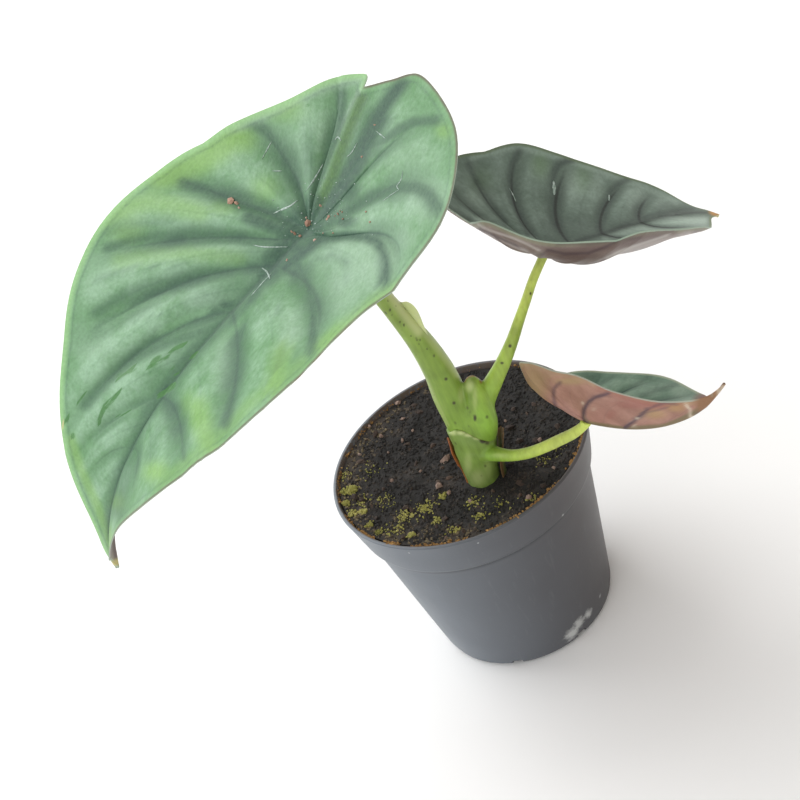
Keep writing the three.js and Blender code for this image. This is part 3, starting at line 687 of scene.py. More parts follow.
# %% Mineral crust where water dries against the lip
# Grains between two directions: [from, to, count, smallest and largest grain in mm]
CRUST = [
    (150, 205, 260, 0.1, 0.24), (205, 275, 520, 0.12, 0.32), (275, 330, 300, 0.12, 0.36),
    (330, 380, 300, 0.12, 0.34), (20, 100, 240, 0.1, 0.28), (100, 150, 200, 0.1, 0.26),
    (262, 266, 70, 0.2, 0.5), (292, 297, 60, 0.2, 0.45), (346, 360, 120, 0.2, 0.45),
    (222, 227, 50, 0.2, 0.4),
]
CRUST_OUT = 28.95
CRUST_FOOT = 28.4
CRUST_TOP = 49.75
crust_ways = [RANDOM.uniform(low, high, count) for low, high, count, _, _ in CRUST]
crust_ways = np.radians(np.concatenate(crust_ways))
crust_sizes = np.concatenate([RANDOM.uniform(small, large, count) for _, _, count, small, large in CRUST])
# The crust comes and goes along the lip
thinned = RANDOM.uniform(-1.2, 0.8, len(crust_ways)) < np.sin(crust_ways * 23) + np.sin(crust_ways * 9 + 1)
crust_ways, crust_sizes = crust_ways[thinned], crust_sizes[thinned]
crust_out = CRUST_OUT + RANDOM.normal(size=len(crust_ways)) * 0.22
crust_edge = soil_height(CRUST_FOOT * np.cos(crust_ways), CRUST_FOOT * np.sin(crust_ways))
crust_places = np.column_stack([
    crust_out * np.cos(crust_ways), crust_out * np.sin(crust_ways),
    np.minimum(crust_edge + 0.3 + RANDOM.normal(size=len(crust_ways)) * 0.2, CRUST_TOP),
])
crust = stones("rim_crust", crust_places, crust_sizes, stretch=(0.5, 1.4), dent=0.35)
dress(crust, earth("mineral_crust", [(0.15, "#6A5238"), (0.5, "#94703F"), (0.95, "#BE955A")],
                   0.9, "#D2B68A", 7))

for piece in (soil, peat, bark, perlite, moss, crust):
    settle(piece, "soil", *(["soil"] if piece is soil else []))

# %% [markdown]
# ## The corm
# The corm is the small brown tuber that the stem grows from. The soil hides it,
# so its solid stays as it is and only gets the fibrous brown skin.

# %% Corm finish
corm_finish, tree = blank("corm_skin")
position = put(tree, "TexCoord", out="Object")
rings = put(tree, "TexWave", {"Vector": position, "Scale": 160.0, "Distortion": 3.0}, bands_direction="Z")
colour = put(tree, "ValToRGB", {"Fac": rings}, ramp=[(0.2, "#4E3826"), (0.8, "#86664A")])
bump = put(tree, "Bump", {"Height": rings, "Strength": 0.6, "Distance": 0.0003})
skin = put(tree, "BsdfPrincipled", {"Base Color": colour, "Roughness": 0.8, "Normal": bump})
put(tree, "OutputMaterial", {"Surface": skin})
corm = frame["nodes"]["corm"]
dress(corm, corm_finish)
print("corm wears", corm_finish.name)

# %% [markdown]
# ## Leaf stalks
# Each stalk is a fleshy tube that swells at its foot into a sheath round the
# next one. A tube is a grid rolled round a smooth line, with its radius given
# along the way, so it can taper and bend as it grew.

# %% Smooth lines and tubes
def spline(points, t):
    """A smooth line through points; t from 0 to 1 runs over its spans evenly."""
    points = np.asarray(points, dtype=float)
    spans = len(points) - 1
    at = np.clip(t, 0, 1) * spans
    i = np.minimum(at.astype(int), spans - 1)
    w = (at - i)[:, None]
    p0, p1 = points[np.maximum(i - 1, 0)], points[i]
    p2, p3 = points[i + 1], points[np.minimum(i + 2, spans)]
    go, arrive = (p2 - p0) / 2, (p3 - p1) / 2
    cubic = (2 * p1 - 2 * p2 + go + arrive) * w ** 3
    return cubic + (3 * p2 - 3 * p1 - 2 * go - arrive) * w ** 2 + go * w + p1


def rolled(u, v, stations, shape):
    """Points of a tube: u goes round it from +X and v along it; shape(way, v) scales its radius."""
    line = spline(stations, v)
    ahead = spline(stations, np.minimum(v + 1e-3, 1)) - spline(stations, np.maximum(v - 1e-3, 0))
    ahead = ahead[:, :3] / np.linalg.norm(ahead[:, :3], axis=1, keepdims=True)
    across = np.array([1.0, 0, 0]) - ahead * ahead[:, :1]
    across /= np.linalg.norm(across, axis=1, keepdims=True)
    beyond = np.cross(ahead, across)
    way = u * math.tau
    radius = line[:, 3] * (shape(way, v) if shape else 1)
    # Round ends: the last rings close in
    radius = radius * np.sqrt(np.clip(1 - (2 * np.abs(v - 0.5)) ** 60, 0, 1))
    return line[:, :3] + radius[:, None] * (np.cos(way)[:, None] * across + np.sin(way)[:, None] * beyond)


def tube(name, stations, rings, sides, shape=None):
    """A closed tube along its stations, each [x, y, z, radius] in millimetres."""
    piece, _, _ = sheet(name, sides, rings, lambda u, v: rolled(u, v, stations, shape))
    tidy(piece, 2e-6)
    return piece


def fluted(way, v):
    """Faint lengthwise ridges, as on the stalk of an aroid."""
    return 1 + 0.008 * np.sin(way * 9) + 0.012 * np.sin(way * 2 + 6 * v)


# %% The lines of the stalks: [x, y, z, radius]
LARGE_STALK = [
    [2.2, -9.8, 34, 2.2], [2.4, -10.1, 46, 2.2], [3.1, -10.8, 52.6, 2.8], [3.5, -11.2, 57, 3.5],
    [3.9, -11.1, 61, 4.1], [3.5, -10.9, 66, 3.65], [3.3, -10.6, 72, 3.6], [3.3, -10.7, 79, 3.2],
    [2.4, -11.1, 87, 2.7], [0.7, -11.6, 95, 2.15], [-1.6, -12, 104.5, 1.75],
    [-4.3, -12.8, 112.9, 1.65], [-7.5, -13.6, 121.1, 1.6], [-8.3, -13.9, 122.6, 1.9],
]
MIDDLE_STALK = [
    [3.9, -11.6, 55.5, 3.0], [4.6, -11.9, 58.2, 3.3], [5.6, -12.1, 61.3, 3.35], [6.8, -12.1, 64.5, 3.15],
    [9.1, -12.1, 68.2, 2.6], [12.3, -12.9, 71.8, 1.95], [16.0, -14.2, 76.5, 1.55], [19.2, -15.2, 81.1, 1.27],
    [22.1, -15.8, 85.5, 1.1], [24.8, -16.2, 89.4, 1.0], [27.5, -16.4, 93.2, 0.95],
    [31.0, -15.5, 96.4, 0.95], [32.3, -15.4, 97.6, 1.3],
]
FILL = [
    [4.5, -11.8, 56, 3.2], [5.0, -12.1, 60, 3.6], [5.4, -12.3, 63.5, 3.4], [5.7, -12.35, 66.5, 3.05],
    [5.9, -12.3, 68.5, 2.5], [6.0, -12.2, 70, 1.6],
]
HOOD = [
    [5.6, -12.6, 58, 2.2], [6.6, -12.8, 61.5, 3.0], [7.3, -13.0, 64.5, 3.2], [7.7, -13.0, 67.5, 3.05],
    [8.1, -13.0, 70.2, 2.7], [8.4, -13.0, 72.6, 2.25], [8.5, -13.0, 74.4, 1.7], [8.7, -13.0, 75.6, 0.9],
]
SMALL_STALK = [
    [4.0, -12.0, 57.0, 3.1], [4.9, -13.8, 57.3, 2.5], [6.0, -15.5, 57.4, 1.9], [7.6, -17.5, 57.5, 1.5],
    [10.1, -19.9, 57.7, 1.27],
    [13.3, -22.2, 58.5, 1.24], [16.5, -24.2, 59.8, 1.23], [19.8, -25.9, 61.2, 1.22],
    [22.6, -27.6, 62.7, 1.15], [25.0, -28.9, 64.5, 1.0], [25.7, -29.0, 65.4, 1.35],
]
print("large stalk ends at height", LARGE_STALK[-1][2], "mm")

# %% [markdown]
# In the fork the stalks have grown together: the sheath of the large stalk
# wraps the foot of the middle one and ends in a hood. So four tubes, one of
# which only fills the fork, are remeshed into one skin, which is then smoothed,
# most of all in the fork.

# %% Grow the trunk together
FORK_MESH = 0.28
FORK_LOW, FORK_HIGH = 54, 80


def fuse(piece, mesh, low, high, turns):
    """One skin round overlapping tubes, smoothed most between two heights in millimetres."""
    apply_modifier(piece, "REMESH", mode="VOXEL", voxel_size=mesh * MM)
    height = points_of(piece)[:, 2] / MM
    soft = np.clip(np.minimum(height - low, high - height) / 4, 0.12, 1)
    group = piece.vertex_groups.new(name="fork")
    for level in np.unique(np.round(soft, 1)):
        group.add(np.flatnonzero(np.round(soft, 1) == level).tolist(), float(level), "REPLACE")
    apply_modifier(piece, "SMOOTH", factor=0.5, iterations=turns, vertex_group="fork")
    piece.vertex_groups.clear()
    print(piece.name, "fused:", len(piece.data.vertices), "points")


trunk = join("trunk", tube("large_tube", LARGE_STALK, 220, 48, fluted),
             tube("middle_tube", MIDDLE_STALK, 180, 40, fluted), tube("hood", HOOD, 60, 36),
             tube("fill", FILL, 60, 36))
fuse(trunk, FORK_MESH, FORK_LOW, FORK_HIGH, 12)

# %% Wing of the large stalk
WING = [
    [0, 72], [3.2, 74], [3.6, 81], [4.1, 88], [4.8, 93.6], [4.6, 96.2], [3.7, 97.8], [2.5, 98.2],
    [2.1, 99.4], [1.6, 101.8], [0.9, 102],
]
WING_FOOT = (1.4, -11.3)
WING_LEAN = math.radians(-4.5)
WING_TURN = math.radians(-25)
WING_HALF = 0.38


def wing_rule(u, v):
    """A thin flap from the stalk out to its free edge, round at that edge."""
    edge = spline(WING, v)
    fold = u * 2 - 1
    out = edge[:, 0] * (1 - np.abs(fold)) + 0.3
    thick = np.sign(fold) * WING_HALF * np.sqrt(np.abs(fold)) * (0.45 + 0.55 * np.abs(fold))
    up = edge[:, 1] - WING[0][1]
    ripple = 0.25 * np.sin(up * 0.55) * (out / 4.5) ** 2
    x = out * math.cos(WING_LEAN) + up * math.sin(WING_LEAN)
    z = up * math.cos(WING_LEAN) - out * math.sin(WING_LEAN)
    y = thick + ripple
    turned_x = x * math.cos(WING_TURN) - y * math.sin(WING_TURN)
    turned_y = x * math.sin(WING_TURN) + y * math.cos(WING_TURN)
    return np.stack([turned_x + WING_FOOT[0], turned_y + WING_FOOT[1], z + WING[0][1]], axis=-1)


wing, wing_u, _ = sheet("wing", 24, 80, wing_rule)
note(wing, "wing", 1 - np.abs(wing_u * 2 - 1))
tidy(wing, 2e-6)
trunk = join("stalks_large_and_middle", trunk, wing)
smooth(trunk, 50)
print("wing:", WING[-1][1] - WING[0][1], "mm long")

# %% [markdown]
# The foot sheath is the oldest one and hugs the trunk: its wall stands a third
# of a millimetre off it and its rim dips from the left down to the small stalk,
# which springs from it with a soft joint.

# %% Foot sheath with the small stalk
FOOT_SHEATH = [
    [2.2, -9.8, 36, 3.2], [2.3, -10.0, 43, 3.4], [2.4, -10.2, 46.3, 3.55], [2.8, -10.5, 49.5, 3.7],
    [3.1, -10.8, 52.6, 4.05], [3.4, -11.1, 55.6, 4.4], [3.5, -11.2, 58.2, 4.6], [3.8, -11.2, 62, 4.4],
    [3.7, -11.1, 67, 3.8],
]
# The rim: [direction from +X in degrees, height]
FOOT_RIM = [
    [-50, 60], [-20, 59.4], [20, 59], [110, 59], [150, 62.5], [170, 64.5], [190, 64.2], [230, 65.8],
    [250, 65.2], [270, 63.8], [290, 61.7], [310, 60],
]
HUG = 0.35
FOOT_MESH = 0.26
FOOT_BOTTOM = 40
SHEATH_LOW, SHEATH_HIGH = 50, 66


def foot_line(z, part):
    """The x (0), y (1) or radius (3) of the foot sheath at a height."""
    stations = np.array(FOOT_SHEATH)
    return np.interp(z, stations[:, 2], stations[:, part])


def trunk_reach(way, z):
    """How far the trunk reaches from the axis of the foot, by direction and height."""
    reach = np.zeros_like(z)
    for stations in (LARGE_STALK, MIDDLE_STALK, FILL, HOOD):
        line = spline(stations, np.linspace(0, 1, 300))
        x, y = (np.interp(z, line[:, 2], line[:, k]) - foot_line(z, k) for k in (0, 1))
        radius = np.interp(z, line[:, 2], line[:, 3], left=0, right=0)
        along = x * np.cos(way) + y * np.sin(way)
        aside = x * np.sin(way) - y * np.cos(way)
        reach = np.maximum(reach, along + np.sqrt(np.clip(radius ** 2 - aside ** 2, 0, None)))
    return reach


def foot_rule(u, v):
    """Up the outside to the rim, then in under the rim to the middle of the trunk."""
    way = u * math.tau
    rim = np.array(FOOT_RIM)
    top = np.interp(np.degrees(way), rim[:, 0], rim[:, 1], period=360)
    z = FOOT_BOTTOM + (top - FOOT_BOTTOM) * np.clip(v / 0.8, 0, 1)
    own = foot_line(z, 3) * fluted(way, v) * (1 - 0.12 * np.clip((z - 54) / 8, 0, 1))
    reach = np.maximum(own, trunk_reach(way, z) + HUG * np.clip((z - 50) / 4, 0, 1))
    reach = reach * (1 - np.clip((v - 0.8) / 0.2, 0, 1)) * np.clip(v / 0.02, 0, 1)
    x, y = foot_line(z, 0) + reach * np.cos(way), foot_line(z, 1) + reach * np.sin(way)
    return np.stack([x, y, z], axis=-1)


foot, _, _ = sheet("foot", 120, 100, foot_rule)
tidy(foot, 2e-5)
foot_stalk = join("stalk_small", foot, tube("small_tube", SMALL_STALK, 150, 32, fluted))
fuse(foot_stalk, FOOT_MESH, SHEATH_LOW, SHEATH_HIGH, 9)
smooth(foot_stalk, 50)

# %% [markdown]
# Young tissue is paler, and specks, bruised rims, a little painted shade in the fork and
# pale streaks of painted highlight sit where they were seen: each is dabbed on the points
# round one place of the picture.

# %% Dab and measure
def dab(piece, channel, marks, strokes=()):
    """Soft patches [x, y, width, height, strength] and strokes (path, width, strength) in the picture."""
    across, down = pixels_of(points_of(piece))
    amount = np.zeros(len(across))
    for x, y, width, height, strength in marks:
        reach = ((across - x) / width) ** 2 + ((down - y) / height) ** 2
        amount = np.maximum(amount, strength * np.exp(-reach ** 1.4))
    for path, width, strength in strokes:
        for (x0, y0), (x1, y1) in zip(path, path[1:]):
            share = (across - x0) * (x1 - x0) + (down - y0) * (y1 - y0)
            share = np.clip(share / ((x1 - x0) ** 2 + (y1 - y0) ** 2), 0, 1)
            away = np.hypot(across - x0 - share * (x1 - x0), down - y0 - share * (y1 - y0))
            amount = np.maximum(amount, strength * np.exp(-(away / width) ** 2.8))
    note(piece, channel, amount)


def nearness(points, stations):
    """Distance in millimetres from the skin of a stalk, and place along it from 0 to 1."""
    line = spline(stations, np.linspace(0, 1, 160))
    away = np.linalg.norm(points[:, None] / MM - line[None, :, :3], axis=2) - line[None, :, 3]
    return away.min(axis=1), away.argmin(axis=1) / 159


# %% Where the stalks are young, lime or old
points = points_of(trunk)
to_large, along_large = nearness(points, LARGE_STALK)
to_middle, along_middle = nearness(points, MIDDLE_STALK)
lime = np.clip((to_large - to_middle) / 1.5, 0, 1)
note(trunk, "lime", lime)
note(trunk, "young", np.where(lime > 0.5, np.clip((along_middle - 0.3) / 0.5, 0, 1),
                              np.clip((along_large - 0.4) / 0.3, 0, 1)))
note(trunk, "foot", np.zeros(len(points)))
points = points_of(foot_stalk)
to_small, along_small = nearness(points, SMALL_STALK)
petiole = np.clip(1 - to_small / 0.8, 0, 1) * np.clip((along_small - 0.08) / 0.12, 0, 1)
note(foot_stalk, "lime", petiole)
note(foot_stalk, "young", np.clip((along_small - 0.25) / 0.4, 0, 1) * petiole)
note(foot_stalk, "foot", 1 - petiole)
print("lime green points:", int(lime.sum()), "and", int(petiole.sum()))

# %% Specks, painted shade, dry rims and painted highlights on the stalks

# Dark specks and pits; the broad soft dabs round the fork are painted shade on its shaded side
dab(trunk, "dark", [
    (482, 378.5, 3.2, 3.2, 1.0), (446, 379, 2.2, 2, 0.9), (454, 403, 2.2, 2, 0.9), (475, 418, 2, 4, 0.9),
    (487, 417, 2, 2.4, 0.7), (502, 363, 2.2, 1.6, 0.9), (510, 346, 2, 2, 1.0), (434, 356, 1.6, 1.8, 0.7),
    (484, 404, 3, 3, 0.3), (470, 412, 2, 3, 0.4), (480, 421, 7, 6, 0.36), (391, 291, 2.4, 2.4, 1.0),
    (380, 299, 1.6, 1.4, 0.8), (384, 297, 1.8, 1.4, 0.8), (388, 301, 1.3, 1.3, 0.7),
    (390, 310, 1.2, 2, 0.9), (392, 315, 1, 1.4, 0.7), (396, 306, 1, 1.2, 0.6), (400, 322, 1.2, 1.6, 0.8),
    (404, 325, 1.2, 2, 0.9), (402, 330, 1, 1.2, 0.5), (411, 336, 1.2, 1.4, 0.7), (417, 340, 1.4, 1.4, 0.8),
    (420, 340, 1.2, 1.6, 0.8), (419, 344, 1.2, 1.2, 0.7), (427, 349, 1.4, 1.6, 0.7),
    (434, 355, 1.3, 1.6, 0.6), (416, 355, 1.2, 1.2, 0.5), (434, 395, 1.2, 1.4, 0.5),
    (435, 398, 1, 1.2, 0.4), (530.5, 293.5, 1.4, 1.8, 1.0), (527, 284, 1, 1.2, 0.5),
    (520, 322, 1, 1.4, 0.5), (514, 328, 1, 1.2, 0.5), (531, 280, 1, 1, 0.5), (466, 397, 1, 1.2, 0.4),
])
dab(trunk, "brown", [
    (464.5, 380.5, 2, 2.2, 0.6), (467, 377.5, 2, 2, 0.7), (470, 376, 2.2, 1.8, 0.8),
    (474, 375.4, 2.2, 1.6, 0.9), (478, 376.4, 2, 2, 0.9), (481, 381, 1.8, 3, 0.7),
])
# Painted highlights where the stalks catch the light: the lit left edge, the hood and the wing, whose young
# tissue is also paler
dab(trunk, "light", [
    (469, 386, 5, 6, 0.7), (475, 398, 2.5, 12, 0.35), (461, 395, 3, 8, 0.4), (440, 420, 6, 16, 0.2),
], [
    ([(414, 316), (425, 332), (437, 347), (448, 361), (457, 374)], 4.5, 0.5),
    ([(392, 294), (399, 304), (409, 317), (419, 330)], 6.5, 1.0),
    ([(379, 314), (395, 335), (412, 358), (427, 382), (436, 402), (447, 425)], 2.4, 0.35),
])
dab(foot_stalk, "dark", [(483, 441, 4, 3, 1.0), (487, 443, 3, 2.4, 0.8), (480, 462, 1.6, 1.6, 0.3)])
dab(foot_stalk, "brown", [(489, 441, 2.4, 1.8, 0.3)])
# Painted sheen on the foot sheath and at the foot of the small stalk
dab(foot_stalk, "light", [
    (453, 433, 4, 2.4, 0.8), (461, 433, 5, 2, 0.9), (469, 435, 5, 2, 0.9), (477, 438, 4, 2, 0.7),
    (478, 478, 8, 8, 0.5), (468, 465, 4, 12, 0.4), (500, 455, 8, 2, 0.3), (488, 470, 4, 10, 0.25),
])

# %% [markdown]
# A stalk is watery and translucent: olive where it is old, lime green and paler
# where it is young, with elongated purple-brown specks and a satin skin. The
# free edges of the sheaths are thin and dry, so they turn pale, then brown.

# %% Stalk finish
stalk_skin, tree = blank("aroid_stalk")
position = put(tree, "TexCoord", out="Object")
marks = {key: put(tree, "Attribute", attribute_name=key, out="Fac")
         for key in ("lime", "young", "foot", "wing", "dark", "brown", "light")}
olive = put(tree, "Mix", {0: marks["young"], 6: "#7E9E3C", 7: "#86A046"}, **COLOURS)
limes = put(tree, "Mix", {0: marks["young"], 6: "#84AA3E", 7: "#C4D466"}, **COLOURS)
colour = put(tree, "Mix", {0: marks["lime"], 6: olive, 7: limes}, **COLOURS)
colour = put(tree, "Mix", {0: marks["foot"], 6: colour, 7: "#7A9546"}, **COLOURS)
# Lengthwise streaks 0.8 mm wide over clouds of 6 mm
stretched = put(tree, "Mapping", {"Vector": position, "Scale": (1.0, 1.0, 0.14)})
streak = put(tree, "TexNoise", {"Vector": stretched, "Scale": 1250.0, "Detail": 3.0, "Roughness": 0.6})
cloud = put(tree, "TexNoise", {"Vector": position, "Scale": 170.0, "Detail": 2.0})
depth = put(tree, "Math", {0: streak, 1: 0.7, 2: cloud}, operation="MULTIPLY_ADD")
depth = put(tree, "MapRange", {"Value": depth, "From Min": 0.6, "From Max": 1.1,
                               "To Min": 0.78, "To Max": 1.2})
colour = put(tree, "Mix", {0: 1.0, 6: colour, 7: depth}, blend_type="MULTIPLY", **COLOURS)
# Painted highlights and sheen from the dabbed light marks; on the wing they also carry its paler young tissue
pale = put(tree, "Math", {0: marks["light"], 1: 0.9}, **TIMES)
thin = put(tree, "MapRange", {"Value": marks["wing"], "From Min": 0.05, "From Max": 0.6, "To Max": 0.9})
# Specks 0.5 to 1 mm, longer than wide, on four places in ten
dotted = put(tree, "Mapping", {"Vector": position, "Scale": (1.0, 1.0, 0.6)})
cells = put(tree, "TexVoronoi", {"Vector": dotted, "Scale": 560.0}, out="Distance")
pick = put(tree, "TexVoronoi", {"Vector": dotted, "Scale": 560.0}, out="Color")
chosen = put(tree, "SeparateColor", {0: pick})
chosen = put(tree, "Math", {0: chosen, 1: 0.4}, operation="LESS_THAN")
speck = put(tree, "MapRange", {"Value": cells, "From Min": 0.22, "From Max": 0.06, "To Max": 0.7})
speck = put(tree, "Math", {0: chosen, 1: speck}, **TIMES)
clean = put(tree, "MapRange", {"Value": marks["lime"], "From Min": 0.6, "From Max": 0.3, "To Min": 0.1})
speck = put(tree, "Math", {0: clean, 1: speck}, **TIMES)
# The dabbed dark spots: specks and pits, and painted shade in the fork
spot = put(tree, "MapRange", {"Value": marks["dark"], "From Min": 0.25, "From Max": 0.8, "To Max": 0.92})
speck = put(tree, "Math", {0: speck, 1: spot}, operation="MAXIMUM")
ragged = put(tree, "Math", {0: marks["brown"], 1: streak}, **TIMES)
dried = put(tree, "MapRange", {"Value": ragged, "From Min": 0.06, "From Max": 0.3, "To Max": 0.9})
for mask, tone in ((pale, "#CBD694"), (thin, "#CFDAA0"), (dried, "#96733A"), (speck, "#3A3324")):
    colour = put(tree, "Mix", {0: mask, 6: colour, 7: tone}, **COLOURS)
bump = put(tree, "Bump", {"Height": streak, "Strength": 0.45, "Distance": 0.00015})
skin = put(tree, "BsdfPrincipled", {
    "Base Color": colour, "Roughness": 0.4, "IOR": 1.42, "Normal": bump,
    "Subsurface Weight": 0.2, "Subsurface Radius": (0.8, 1.0, 0.3), "Subsurface Scale": 0.001,
})
put(tree, "OutputMaterial", {"Surface": skin})
for piece, nodes in ((trunk, ("petiole_large", "petiole_middle")), (foot_stalk, ("petiole_small",))):
    dress(piece, stalk_skin)
    settle(piece, "stalk", *nodes)

# %% [markdown]
# ## Remnants of older sheaths
# Leaves that have gone leave their sheath behind as thin papery skins at the
# foot: a rust-brown edge on the left and a green-brown strip on the right.
# Each is a curved sheet round the foot with a torn top, given a thickness.

# %% Old sheaths
# Waves that make up a torn edge
TEARS = (1.3, 3.1, 5.7, 9.2)
SHEATH_SKIN = 0.25


def remnant(name, start, end, low, high, tear, off, seed):
    """A papery skin off the foot sheath between two directions, in degrees, and two heights."""
    phases = np.random.default_rng(seed).uniform(0, math.tau, len(TEARS))

    def rule(u, v):
        way = np.radians(start + (end - start) * u)
        torn = sum(np.sin(u * pace * math.tau + phase) for pace, phase in zip(TEARS, phases)) / len(TEARS)
        peak = high + tear * torn - (high - low) * 0.5 * np.abs(2 * u - 1) ** 3
        z = low + (peak - low) * v
        x, y = foot_line(z, 0), foot_line(z, 1)
        radius = np.maximum(foot_line(z, 3), np.where(z > 54, trunk_reach(way, z) + HUG, 0))
        radius = radius + off[0] + (off[1] - off[0]) * v + 0.4 * v ** 6 + 0.1 * np.sin(way * 13 + v * 3)
        return np.stack([x + radius * np.cos(way), y + radius * np.sin(way), z], axis=-1)

    piece, u, v = sheet(name, 60, 40, rule)
    note(piece, "edge", np.maximum(np.abs(2 * u - 1), v) ** 3)
    apply_modifier(piece, "SOLIDIFY", thickness=SHEATH_SKIN * MM, offset=0)
    tidy(piece, 1e-7)
    smooth(piece, 50)
    return piece


def papery(name, body, edge, stripe):
    """Dry sheath tissue: lengthwise fibres, darker stripes and a brown torn edge."""
    material, tree = blank(name)
    position = put(tree, "TexCoord", out="Object")
    # Fibres 0.7 mm apart
    upright = put(tree, "Mapping", {"Vector": position, "Scale": (1.0, 1.0, 0.08)})
    fibre = put(tree, "TexNoise", {"Vector": upright, "Scale": 1400.0, "Detail": 3.0})
    colour = put(tree, "ValToRGB", {"Fac": fibre}, ramp=[(0.35, stripe), (0.6, body)])
    rim = put(tree, "Attribute", attribute_name="edge", out="Fac")
    ragged = put(tree, "Math", {0: rim, 1: fibre}, **TIMES)
    wear_and_shade_grain = put(tree, "MapRange", {"Value": ragged, "From Min": 0.1, "From Max": 0.35})
    colour = put(tree, "Mix", {0: wear_and_shade_grain, 6: colour, 7: edge}, **COLOURS)
    bump = put(tree, "Bump", {"Height": fibre, "Strength": 0.7, "Distance": 0.0002})
    skin = put(tree, "BsdfPrincipled", {"Base Color": colour, "Roughness": 0.6, "Normal": bump})
    put(tree, "OutputMaterial", {"Surface": skin})
    return material


left_skin = remnant("old_sheath_left_skin", 144, 184, 47.4, 61.4, 0.5, (0.1, 0.05), 2)
dress(left_skin, papery("dry_sheath_rust", "#A8763E", "#A05C2C", "#7E5A34"))
settle(left_skin, "dry_sheath", "old_sheath_left")
right_skin = remnant("old_sheath_right_skin", -44, 22, 47.4, 59.6, 0.8, (1.5, 1.1), 5)
dress(right_skin, papery("dry_sheath_olive", "#5A6A38", "#6A5234", "#3C4526"))
settle(right_skin, "dry_sheath", "old_sheath_right")

# %% [markdown]
# ## The leaf blade
# An alocasia blade is a shield: its stalk joins it inside the outline, veins fan
# out from there and from the midrib, and the tissue between them bulges up like
# a quilt. Each half is a grid whose columns run along the veins and whose rows
# run from the midrib to the margin, so folds and colours can follow the veins.

# %% The rule of a blade
FAN_START = 0.42
MIDRIB_SPACING = 1.15
VEIN_ARCH = 0.12
ARCH_ONSET = 6
QUILT_ROUNDNESS = 0.8
QUILT_BALANCE = 0.45
VALLEY_SOFTNESS = 1.5
QUILT_REACH = 0.94
QUILT_SPAN = (0.03, 0.11)
TAIL = (0.5, 0.8)
CALM_WIDTH = 6.0
FOLD_WIDTH = 5.0
BLADE_THICKNESS = 0.45


def blade_axes(leaf):
    """Directions along the midrib, across it and out of the upper side."""
    heading, pitch, roll = (math.radians(leaf[key]) for key in ("heading", "pitch", "roll"))
    along = np.array([
        math.cos(pitch) * math.cos(heading), math.cos(pitch) * math.sin(heading), -math.sin(pitch)])
    level = np.array([-math.sin(heading), math.cos(heading), 0])
    upright = np.cross(along, level)
    across = level * math.cos(roll) + upright * math.sin(roll)
    return along, across, upright * math.cos(roll) - level * math.sin(roll)


def flat_point(half, rho, place):
    """On the flat leaf: rho runs from the midrib to the margin, place along the outline."""
    edge = spline(half["outline"], place)
    run = np.clip((place - FAN_START) / (1 - FAN_START), 0, 1)
    root = np.stack([half["outline"][-1][0] * run ** MIDRIB_SPACING, np.zeros_like(run)], axis=-1)
    bow = (edge + root) / 2
    bow[:, 0] -= np.linalg.norm(edge - root, axis=1) * VEIN_ARCH * np.minimum(1, run * ARCH_ONSET)
    r = rho[:, None]
    return (1 - r) ** 2 * root + 2 * r * (1 - r) * bow + r * r * edge


# %% Bend the flat leaf
def midrib_angle(leaf, a):
    """How far the midrib has bent down, a millimetres along it."""
    return np.where(a >= 0, leaf["droop"] * a + leaf["droop_growth"] * a * a, leaf["back_bend"] * a)


def blade_point(leaf, half, flat):
    """On the grown leaf: each half rises from the midrib and curls towards its margin."""
    along, across_way, normal = blade_axes(leaf)
    a, b = flat[:, 0], flat[:, 1]
    share = a / leaf["length"]
    curl = half["curl"] * (1 + leaf["curl_growth"] * share)
    rise = math.radians(half["rise"]) * (1 + leaf["rise_growth"] * share)
    end = rise + curl * b
    out = half["side"] * (np.sin(end) - np.sin(rise)) / curl
    up = (np.cos(rise) - np.cos(end)) / curl
    twist = math.radians(leaf["twist"]) * share
    across = out * np.cos(twist) - up * np.sin(twist)
    lift = out * np.sin(twist) + up * np.cos(twist)
    ahead = np.maximum(a, 0)
    across += leaf["sway"] * ahead ** 2 / leaf["length"]
    across += leaf["sway_tip"] * ahead ** 3 / leaf["length"] ** 2
    across += leaf["sway_back"] * np.maximum(-a, 0)
    steps = (np.arange(24) + 0.5) / 24
    bends = midrib_angle(leaf, a[:, None] * steps)
    forward = np.cos(bends).mean(axis=1) * a
    down = np.sin(bends).mean(axis=1) * a
    angle = midrib_angle(leaf, a)
    return (np.array(leaf["attach"]) + (forward + np.sin(angle) * lift)[:, None] * along
            + across[:, None] * across_way + (np.cos(angle) * lift - down)[:, None] * normal)


def place_at(half, v, rho):
    """Place on the outline of mesh line v: veins are whole numbers, bays lie between."""
    veins = np.array([[0, 0, 0], *half["veins"], [1, 1, 1]], dtype=float)
    bay = np.minimum(np.floor(v).astype(int), len(veins) - 2)

    def at(row):
        straight = row[:, 0] + (row[:, 2] - row[:, 0]) * rho
        return straight + 4 * rho * (1 - rho) * (row[:, 1] - (row[:, 0] + row[:, 2]) / 2)

    low, high = at(veins[bay]), at(veins[bay + 1])
    return low + (high - low) * (v - bay)


# %% The way out of a leaf
def upper_way(leaf, half, flat):
    """The direction out of the upper side, shared by both halves at the midline."""
    step = 0.05
    ways = []
    for one in sorted(leaf["halves"], key=lambda other: other is not half):
        here = blade_point(leaf, one, flat)
        ahead = blade_point(leaf, one, flat + [step, 0]) - here
        beside = (blade_point(leaf, one, flat + [0, step]) - here) * one["side"]
        normal = np.cross(ahead, beside)
        ways.append(normal / np.linalg.norm(normal, axis=1, keepdims=True))
    own = 0.5 + 0.5 * np.clip(flat[:, 1:] / 4, 0, 1)
    normal = ways[0] * own + ways[1] * (1 - own)
    return normal / np.linalg.norm(normal, axis=1, keepdims=True)


# %% One half of a blade
STEPS_PER_BAY = 14
STEPS_ACROSS = 56


